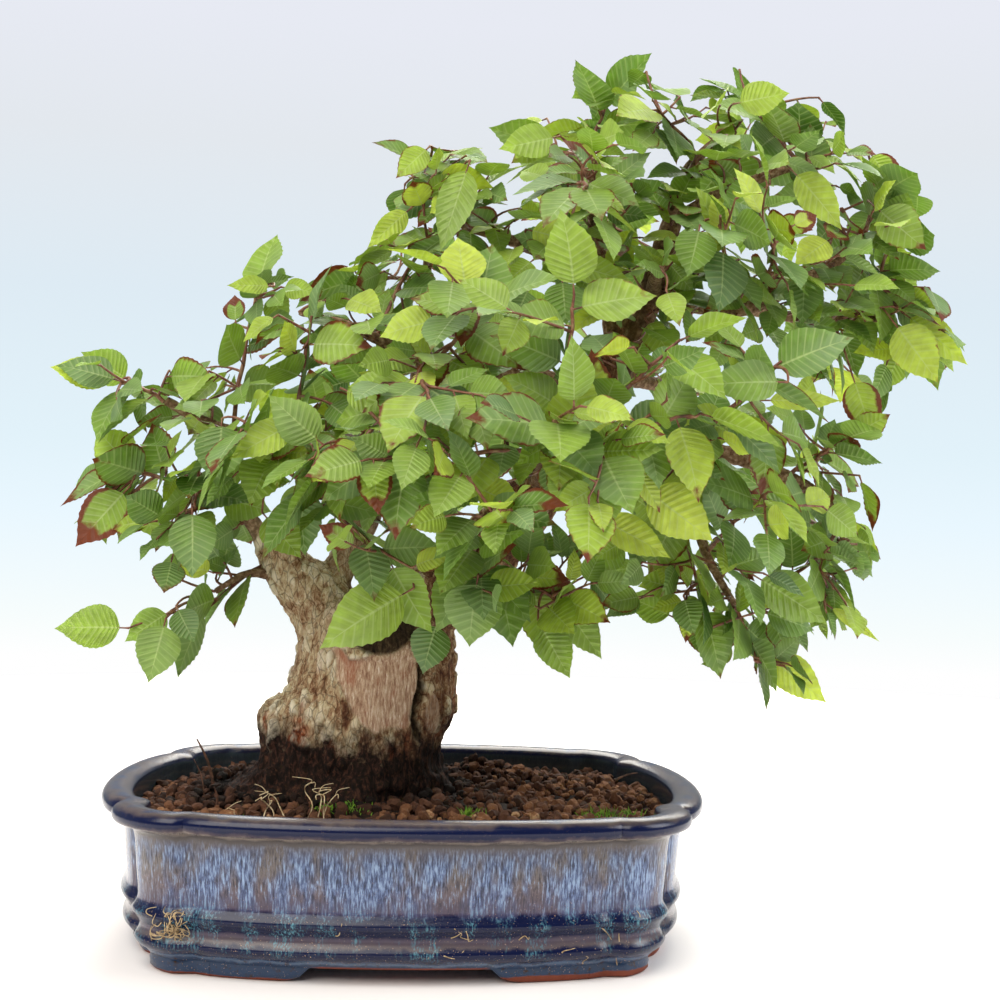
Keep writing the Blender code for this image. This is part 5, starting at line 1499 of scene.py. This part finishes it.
class Crown:
    """The growing crown: its sprays, the room they take and how full it looks."""

    def __init__(self, leaves):
        self.leaves = leaves
        self.draw = random.Random(5)
        self.blade = make_blade()
        low, high = MODEL_BOX
        self.low = np.array(low - POT_MIDDLE) - 0.008
        self.high = np.array(high - POT_MIDDLE) + 0.008
        self.bark = node_tree_of("trunk")
        self.ground = node_tree_of("soil")
        self.taken = []
        self.middles = np.zeros((0, 3))
        self.reaches = np.zeros(0)
        self.sprays = []
        self.covered = np.zeros((CELLS, CELLS), int)
        self.leaf_count = 0

    def cover(self, points):
        """Count the picture cells that a leaf hides."""
        cells = set()
        for a in points[:8]:
            for share in (0.25, 0.6, 0.95):
                u, v = seen_at(points[8] + (a - points[8]) * share)
                cells.add((int(v * CELLS / PICTURE), int(u * CELLS / PICTURE)))
        for row, column in cells:
            if 0 <= row < CELLS and 0 <= column < CELLS:
                self.covered[row, column] += 1

    def take(self, probe, points):
        self.taken.append(probe)
        self.middles = np.vstack([self.middles, probe.middle])
        self.reaches = np.append(self.reaches, probe.reach)
        self.cover(points)
        self.leaf_count += 1

    def free(self, leaf):
        """Whether a leaf has room of its own; gives its outline, or nothing."""
        tip = leaf["base"] + leaf["along"] * leaf["length"]
        if np.any(tip < self.low) or np.any(tip > self.high) or tip[2] < LOWEST_TIP:
            return None
        points, faces = rough_blade(leaf, 0.0004)
        probe = Taken(points, faces)
        if self.bark.overlap(probe.tree) or self.ground.overlap(probe.tree):
            return None
        if meets_any(probe, self.taken, self.middles, self.reaches):
            return None
        return probe, points

    def nearest_spray(self, place):
        gaps = [np.linalg.norm(rows[:, :3] - place, axis=1).min() for _, _, rows in self.sprays]
        return self.sprays[int(np.argmin(gaps))][1]

    def read_model(self):
        """Take over the leaves and twigs of the model's own sprays."""
        for name in sorted(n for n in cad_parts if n.startswith("leaf_spray")):
            own, points = read_spray(name)
            touches = [self.bark.find_nearest(Vector(p))[3] for p in points]
            start = points[int(np.argmin(touches))]
            order = sorted(own, key=lambda leaf: float(np.linalg.norm(leaf["base"] - start)))
            line = [start] + [leaf["base"] for leaf in order]
            foliage = Foliage(self.blade)
            thick = np.linspace(0.0014, 0.0007, len(line))
            rows = smooth_line([[*p, r] for p, r in zip(line, thick)], 3)
            foliage.add_tube(rows, 7)
            for leaf in order:
                full = finished_leaf(self.draw, leaf["base"], leaf["along"], leaf["up"],
                                     leaf["length"] * 0.93, leaf["half"] * 0.97)
                foliage.add_leaf(full)
                points, faces = rough_blade(full, 0.0)
                self.take(Taken(points, faces), points)
            self.sprays.append((name, foliage, np.array(rows)))

    def add_marked(self):
        """Hang the leaves that stand out in front, each on a thin shoot of its own."""
        stations = self.stations()
        eye = np.array(CAMERA_AXES[3])
        for u1, v1, u2, v2, deep, slim, shade, dry in MARKED_LEAVES:
            for step in range(14):
                shift = -0.004 * step if step < 8 else 0.004 * (step - 7)
                base = np.array(placed_at(u1, v1, deep + shift))
                tip = np.array(placed_at(u2, v2, deep + shift - 0.006))
                along = tip - base
                length = float(np.linalg.norm(along))
                face = eye - base
                face = face / np.linalg.norm(face) + np.array((self.draw.gauss(0, 0.12), 0.0, 0.38))
                leaf = finished_leaf(self.draw, base, along / length, face, length, length * slim,
                                     look=(shade, dry))
                leaf["droop"], leaf["curl"], leaf["twist"] = 0.05, 0.08, 0.08
                room = self.free(leaf)
                if room:
                    break
            if not room:
                continue
            self.take(*room)
            foliage = self.nearest_spray(base)
            gaps = np.linalg.norm(stations[:, :3] - base - np.array((0.0, 0.012, 0.004)), axis=1)
            start = stations[int(np.argmin(gaps)), :3]
            bend = (start + base) / 2.0 + np.array((0.0, 0.004, 0.006)) - along / length * 0.006
            foliage.add_tube(twig_rows(start, bend, base, 8, 0.0010, 0.0006), 5)
            foliage.add_leaf(leaf)

    def stations(self):
        """Points along every twig and thin limb, from which a shoot can grow."""
        rows = [rows[1:] for _, _, rows in self.sprays]
        for path in LIMBS.values():
            line = np.array(smooth_line(path, LIMB_STEPS))
            rows.append(line[line[:, 3] < THIN_LIMB])
        return np.concatenate(rows)

    def grow_shoot(self, foliage, at, heading, outward, reach, count, sizes):
        """Grow one shoot with leaves on alternate sides, where there is room."""
        draw = self.draw
        end = at + heading * reach
        bend = (at + end) / 2.0 + np.array([draw.gauss(0, 0.004) for _ in range(3)])
        line = twig_rows(at, bend, end, 6, 0.0009, 0.0005)
        side = draw.choice((-1, 1))
        grown = []
        for step in range(count):
            share = 0.25 + 0.75 * step / max(1, count - 1)
            spot = line[min(6, int(round(share * 6)))]
            side = -side
            for attempt in range(6):
                length = draw.uniform(*sizes) * (1.0 - 0.05 * attempt)
                face = 0.55 * np.array((0, 0, 1.0)) + outward * 0.6 + np.array(
                    [draw.gauss(0, 0.35), draw.gauss(0, 0.45), draw.gauss(0, 0.3)])
                cross = np.cross(face, heading)
                cross /= np.linalg.norm(cross) + 1e-6
                angle = math.radians(draw.uniform(30, 75)) * side * (0.2 if step == count - 1 else 1.0)
                along = heading * math.cos(angle) + cross * math.sin(angle)
                along[2] -= draw.uniform(0.0, 0.55)
                along /= np.linalg.norm(along)
                leaf = finished_leaf(draw, spot[:3], along, face, length, length * draw.uniform(0.27, 0.38),
                                     draw.random() ** 3)
                tip, heart = (seen_at(leaf["base"] + along * length * part) for part in (1.0, 0.5))
                if not inside_outline(*tip, CROWN_EDGE):
                    continue
                in_gap = any(inside_outline(*at, gap) for at in (tip, heart) for gap in OPEN_PLACES)
                if spot[1] < 0.0 and in_gap:
                    continue
                room = self.free(leaf)
                if room:
                    grown.append(leaf)
                    self.take(*room)
                    break
        if grown:
            last = max(np.linalg.norm(leaf["base"] - at) for leaf in grown)
            keep = [row for row in line if np.linalg.norm(row[:3] - at) <= last + 0.002]
            if len(keep) > 1:
                foliage.add_tube(keep, 5)
            for leaf in grown:
                foliage.add_leaf(leaf)

    def add_side_shoots(self):
        for _, foliage, rows in self.sprays:
            for _ in range(self.leaves.side_shoots):
                draw = self.draw
                at = rows[draw.randrange(1, len(rows))][:3]
                outward = (at - CROWN_MIDDLE) * np.array((1.0, 1.0, 0.6))
                outward /= np.linalg.norm(outward) + 0.001
                heading = 0.5 * outward + np.array([draw.gauss(0, far) for far in (0.6, 0.6, 0.5)])
                heading /= np.linalg.norm(heading)
                self.grow_shoot(foliage, at, heading, outward, draw.uniform(0.020, 0.050),
                                draw.randrange(3, 6), (0.024, 0.038))

    def veil_limbs(self):
        """Hang a few leaves in front of each bare stretch of limb."""
        draw = self.draw
        for path in LIMBS.values():
            line = np.array(smooth_line(path, LIMB_STEPS))
            for at in line[(line[:, 3] < BARE_LIMB) & (line[:, 2] > VEIL_FROM)][::2]:
                front = at[:3] + np.array((
                    draw.gauss(0, 0.012), -at[3] - draw.uniform(0.016, 0.040), draw.gauss(0.004, 0.008)))
                if not inside_outline(*seen_at(front), CROWN_EDGE) or draw.random() < 0.25:
                    continue
                away = front - at[:3]
                far = float(np.linalg.norm(away))
                outward = np.array((draw.gauss(0, 0.2), -1.0, 0.2))
                self.grow_shoot(
                    self.nearest_spray(at[:3]), at[:3], away / far, outward, far, 2, (0.022, 0.034))

    def fill_gaps(self):
        """Send shoots to where the crown still shows sky inside its outline."""
        stations = self.stations()
        seen = np.array([seen_at(p) for p in stations[:, :3]])
        draw = self.draw
        for wanted, rounds in ((1, 3), (2, 2), (3, 1)):
            for _ in range(rounds):
                targets = []
                for row in range(CELLS):
                    for column in range(CELLS):
                        u, v = (column + 0.5) * PICTURE / CELLS, (row + 0.5) * PICTURE / CELLS
                        if self.covered[row, column] < wanted and inside_outline(u, v, CROWN_EDGE):
                            targets.append((u, v))
                draw.shuffle(targets)
                for u, v in targets:
                    if self.leaf_count >= self.leaves.most:
                        return
                    if self.covered[int(v * CELLS / PICTURE), int(u * CELLS / PICTURE)] >= wanted:
                        continue
                    gaps = np.hypot(seen[:, 0] - u, seen[:, 1] - v) + np.array(
                        [draw.uniform(0.0, 45.0) for _ in range(len(seen))])
                    at = stations[int(np.argmin(gaps)), :3]
                    goal = np.array(placed_at(u, v, at[1] + draw.gauss(-0.004, 0.022)))
                    away = goal - at
                    far = float(np.linalg.norm(away))
                    if far > LONGEST_SHOOT:
                        continue
                    heading = away / (far + 1e-6)
                    outward = (goal - CROWN_MIDDLE) * np.array((1.0, 1.0, 0.6))
                    outward = outward / (np.linalg.norm(outward) + 0.001) + np.array((0.0, -0.5, 0.0))
                    self.grow_shoot(self.nearest_spray(at), at, heading, outward, max(0.012, far * 0.85),
                                    2 if far < 0.020 else 3, (0.020, 0.034))


class BONSAI_OT_sprays(bpy.types.Operator):
    """Turn each spray of the model into fine leaves, and fill the crown with more"""
    bl_idname = "bonsai.sprays"
    bl_label = "Grow the leaves"

    def execute(self, context):
        leaves = settings("bonsai_leaves")
        materials = [leaf_material(leaves), shoot_material(leaves)]
        crown = Crown(leaves)
        crown.read_model()
        crown.add_marked()
        crown.veil_limbs()
        crown.add_side_shoots()
        crown.fill_gaps()
        for name, foliage, _ in crown.sprays:
            piece = foliage.make(name.replace("leaf_spray", "fine_spray"), materials)
            finish_piece(piece, [name], 80)
        return {"FINISHED"}


# Growth on the soil and on the pot

def growth_material(name, tints, scale):
    """Soft plant matter of one kind, mottled in two tints."""
    material, tree, shader, place = new_material(name)
    mottle = add(tree, "TexNoise", {0: place, "Scale": scale, "Detail": 3.0})
    colour = add(tree, "ValToRGB", {0: mottle}, ((0.36, srgb(tints[0])), (0.62, srgb(tints[1]))))
    feed(tree, shader, {"Base Color": colour, "Roughness": 0.75, "Specular IOR Level": 0.25})
    return material


class Growth:
    """Collects thin strands of one kind and makes them one piece."""

    def __init__(self):
        self.points, self.faces, self.count = [], [], 0

    def strand(self, knots, thick, thin, sides=4, steps=4):
        path = smooth_line(knots, steps)
        rows = [[*p, thick + (thin - thick) * i / (len(path) - 1)] for i, p in enumerate(path)]
        points, faces = tube(rows, sides)
        self.faces += [tuple(i + self.count for i in face) for face in faces]
        self.points.append(points)
        self.count += len(points)

    def make(self, name, material, slot):
        piece = mesh_piece(name, np.concatenate(self.points), self.faces, [material])
        finish_piece(piece, angle=60)


def on_soil(ground, x, y):
    hit = ground.ray_cast(Vector((x, y, DROP_FROM)), Vector((0, 0, -1)))[0]
    return np.array((x, y, hit.z + soil_height(x, y) * 0.6))


class BONSAI_OT_growth(bpy.types.Operator):
    """Lay rootlets, moss, grass and bits of twig on the soil and the pot"""
    bl_idname = "bonsai.growth"
    bl_label = "Add small growth"

    def execute(self, context):
        draw = random.Random(8)
        ground = node_tree_of("soil")
        roots = Growth()
        for x, y, lean, tall in ROOTLETS:
            foot = on_soil(ground, x, y) - np.array((0, 0, 0.003))
            knots = [foot]
            for step in range(5):
                share = (step + 1) / 5.0
                knots.append(foot + np.array((
                    lean * share + draw.gauss(0, 0.0016), draw.gauss(0, 0.0020) - 0.003 * share,
                    tall * math.sin(share * 2.1) + 0.003)))
            roots.strand(knots, 0.00042, 0.00022)
            fork = knots[3]
            bend = np.array((lean * 0.3 + draw.gauss(0, 0.002), draw.gauss(0, 0.001), 0.003))
            tip = np.array((lean * 0.6 + draw.gauss(0, 0.004), -0.001, 0.0045))
            roots.strand([fork, fork + bend, fork + tip], 0.00026, 0.00014)
        roots.make("bare_rootlets", growth_material("dry_rootlets", ("B79A70", "E3D2AC"), 500.0), "bark")
        green = Growth()
        for x, y, width, count, tall in TUFTS:
            for _ in range(count):
                foot = on_soil(ground, x + draw.gauss(0, width), y + draw.gauss(0, width * 0.6))
                foot[2] += 0.0015
                lean = np.array((draw.gauss(0, 0.45), draw.gauss(0, 0.45), 1.0))
                lean = lean * tall * draw.uniform(0.5, 1.1)
                knots = [foot, foot + lean * 0.55, foot + lean * (0.9, 0.9, 0.8)]
                green.strand(knots, 0.00034, 0.00008, 3, 2)
        green.make("moss_and_grass", growth_material("soft_moss", ("3F6B1E", "86B23A"), 260.0), "leaf")
        twigs = Growth()
        for start, end, thick in TWIG_BITS:
            start, end = (on_soil(ground, *p) if len(p) == 2 else np.array(p) for p in (start, end))
            middle = (start + end) / 2.0 + np.array((0.0010, 0.0, 0.0012))
            twigs.strand([start, middle, end], thick, thick * 0.45, 5, 3)
        twigs.make("fallen_twigs", growth_material("weathered_twig", ("2C211B", "6A4A3A"), 340.0), "bark")
        pot = node_tree_of("pot")
        straw = Growth()
        for u1, v1, u2, v2 in STRAW_BITS:
            knots = []
            for t in (0.0, 0.35, 0.7, 1.0):
                u, v = u1 + (u2 - u1) * t + draw.gauss(0, 2), v1 + (v2 - v1) * t + draw.gauss(0, 2)
                knots.append(on_wall(pot, u, v, 0.0003))
            straw.strand(knots, 0.00034, 0.00016)
        for _ in range(NEST_STRANDS):
            u, v = draw.gauss(NEST_PLACE[0], 9), draw.gauss(NEST_PLACE[1], 8)
            angle, reach = draw.uniform(0, 6.3), draw.uniform(6, 16)
            knots = []
            for t in (0.0, 0.33, 0.66, 1.0):
                way, far = angle + 1.8 * t, reach * t
                knots.append(on_wall(pot, u + far * math.cos(way), v + far * math.sin(way),
                                     0.0008 + 0.0026 * math.sin(3.1 * t + 0.2)))
            straw.strand(knots, 0.00030, 0.00016)
        straw.make("dry_roots_on_pot", growth_material("dry_straw", ("8A7355", "CDB58C"), 420.0), "bark")
        return {"FINISHED"}


def on_wall(pot, u, v, out):
    """The point on the pot's outside seen at a place of the picture, a little proud."""
    eye = CAMERA_AXES[3]
    ray = placed_at(u, v, -0.20) - eye
    hit, normal, _, _ = pot.ray_cast(eye, ray.normalized())
    if hit is None:
        hit, normal, _, _ = pot.find_nearest(placed_at(u, v, -0.11))
    return np.array(hit + normal * out)


# Drain meshes, floor, light and camera

def plastic_material():
    """Moulded black polyethylene mesh: dull, with a faint mould grain."""
    material, tree, shader, place = new_material("moulded_mesh_plastic")
    grain = add(tree, "TexNoise", {0: place, "Scale": 1800.0, "Detail": 2.0})
    colour = add(tree, "Mix", {0: grain, "A": srgb("1A1A1B"), "B": srgb("2E2D2C")}, data_type="RGBA")
    bump = add(tree, "Bump", {"Height": grain, "Strength": 0.3, "Distance": 0.0002})
    feed(tree, shader, {"Base Color": colour, "Roughness": 0.55, "Normal": bump})
    return material


class BONSAI_OT_drain_meshes(bpy.types.Operator):
    """Finish the two plastic meshes that keep the soil in"""
    bl_idname = "bonsai.drain_meshes"
    bl_label = "Finish the drain meshes"

    def execute(self, context):
        material = plastic_material()
        for name in ("drain_mesh_left", "drain_mesh_right"):
            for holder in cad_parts[name].material_slots:
                holder.material = material
        return {"FINISHED"}


def floor_material(studio):
    """Matt white photo paper: no gloss and a very faint mottle."""
    material, tree, shader, place = new_material("matt_photo_paper")
    mottle = add(tree, "TexNoise", {0: place, "Scale": 6.0, "Detail": 2.0})
    colour = add(tree, "Mix", {0: mottle, "A": studio.floor, "B": srgb("FBF8F5")}, data_type="RGBA")
    feed(tree, shader, {"Base Color": colour, "Roughness": 0.9, "Specular IOR Level": 0.1})
    return material


# The floor lies a hair below the feet
FLOOR_DROP = -0.0004
# Lights: name, place, side, power and tint
SOFT_BOXES = (
    ("key_soft_box", (-0.8, -1.2, 1.7), 1.7, 48.0, "FFF9F0"),
    ("back_soft_box", (0.3, 1.3, 1.6), 1.8, 60.0, "FFFDF4"),
    ("side_soft_box", (1.5, -0.3, 1.1), 0.9, 16.0, "FAFBFF"),
)
LIGHT_AIM = Vector((0.0, 0.0, 0.22))


class BONSAI_OT_stage(bpy.types.Operator):
    """Lay the pale floor, set soft studio lights and point the camera"""
    bl_idname = "bonsai.stage"
    bl_label = "Set the stage"

    def execute(self, context):
        studio = settings("bonsai_studio")
        deselect()
        bpy.ops.mesh.primitive_circle_add(
            vertices=96, radius=1.5, fill_type="NGON", location=(0, 0, FLOOR_DROP))
        floor = bpy.context.active_object
        floor.name = "photo_floor"
        bpy.ops.object.transform_apply(location=True, rotation=True, scale=True)
        floor.data.materials.append(floor_material(studio))
        world = bpy.data.worlds.new("studio_air")
        context.scene.world = world
        world.use_nodes = True
        tree = world.node_tree
        direction = add(tree, "TexCoord", out="Generated")
        way = add(tree, "SeparateXYZ", {0: direction}, out=None)
        level = add(tree, "MapRange", {0: way["Z"], 1: -0.12, 2: 0.33})
        sky = add(tree, "ValToRGB", {0: level}, (
            (0.055, (1, 1, 1)), (0.075, (1, 1, 1)), (0.13, srgb("F7FDFD")), (0.18, srgb("F2FBFE")),
            (0.28, srgb("E9F7FF")),
            (0.38, srgb("E2F2FA")), (0.59, studio.wall), (0.80, srgb("E3E8EE")),
            (0.96, studio.zenith)))
        # The room in front is dimmer than the tent, so the glaze mirrors less of it
        front = add(tree, "MapRange", {0: way["Y"], 1: -0.6, 2: 0.1, 3: 0.30, 4: 1.0})
        seen = add(tree, "LightPath", out="Is Camera Ray")
        mirrored = add(tree, "LightPath", out="Is Glossy Ray")
        dimmer = add(tree, "MapRange", {0: mirrored, 3: 1.0, 4: 0.38})
        ambient = add(tree, "Math", {0: front, 1: dimmer}, operation="MULTIPLY")
        share = add(tree, "Math", {0: ambient, 1: seen}, operation="MAXIMUM")
        feed(tree, tree.nodes["Background"], {"Color": sky, "Strength": share})
        for name, place, size, power, tint in SOFT_BOXES:
            deselect()
            bpy.ops.object.light_add(type="AREA", location=place)
            lamp = bpy.context.active_object
            lamp.name = name
            lamp.data.size = size
            lamp.data.energy = power
            lamp.data.color = srgb(tint)
            lamp.rotation_mode = "QUATERNION"
            lamp.rotation_quaternion = (LIGHT_AIM - Vector(place)).to_track_quat("-Z", "Y")
        right, up, back_way, eye = CAMERA_AXES
        bpy.ops.object.camera_add()
        camera = bpy.context.active_object
        camera.name = "photo_camera"
        camera.data.lens = CAMERA_LENS
        camera.data.sensor_width = CAMERA_SENSOR
        camera.data.clip_start = 0.01
        turn = Matrix((right, up, back_way)).transposed().to_4x4()
        camera.matrix_world = Matrix.Translation(POT_MIDDLE + eye) @ turn
        context.scene.camera = camera
        context.scene.view_settings.view_transform = "Standard"
        return {"FINISHED"}


PIECE_STEPS = (
    BONSAI_OT_pot, BONSAI_OT_soil, BONSAI_OT_trunk, BONSAI_OT_sprays, BONSAI_OT_growth,
    BONSAI_OT_drain_meshes, BONSAI_OT_stage,
)
SETTING_GROUPS = {
    "bonsai_pot": PotSettings, "bonsai_soil": SoilSettings, "bonsai_trunk": TrunkSettings,
    "bonsai_leaves": LeafSettings, "bonsai_studio": StudioSettings,
}


class BONSAI_PT_pieces(bpy.types.Panel):
    """Lists the pieces of the bonsai and their settings"""
    bl_idname = "BONSAI_PT_pieces"
    bl_label = "Hornbeam Bonsai"
    bl_space_type = "VIEW_3D"
    bl_region_type = "UI"
    bl_category = "Bonsai"

    def draw(self, context):
        for name in SETTING_GROUPS:
            group = getattr(context.scene, name)
            box = self.layout.box()
            for key in group.__annotations__:
                box.prop(group, key)
        for step in PIECE_STEPS:
            self.layout.operator(step.bl_idname)


def register():
    for group in SETTING_GROUPS.values():
        bpy.utils.register_class(group)
    for step in PIECE_STEPS:
        bpy.utils.register_class(step)
    bpy.utils.register_class(BONSAI_PT_pieces)
    for name, group in SETTING_GROUPS.items():
        setattr(bpy.types.Scene, name, bpy.props.PointerProperty(type=group))


def unregister():
    for name in SETTING_GROUPS:
        delattr(bpy.types.Scene, name)
    bpy.utils.unregister_class(BONSAI_PT_pieces)
    for step in reversed(PIECE_STEPS):
        bpy.utils.unregister_class(step)
    for group in SETTING_GROUPS.values():
        bpy.utils.unregister_class(group)


def main():
    register()
    bpy.ops.bonsai.pot()
    bpy.ops.bonsai.soil()
    bpy.ops.bonsai.trunk()
    bpy.ops.bonsai.sprays()
    bpy.ops.bonsai.growth()
    bpy.ops.bonsai.drain_meshes()
    bpy.ops.bonsai.stage()


if __name__ == "__main__":
    main()
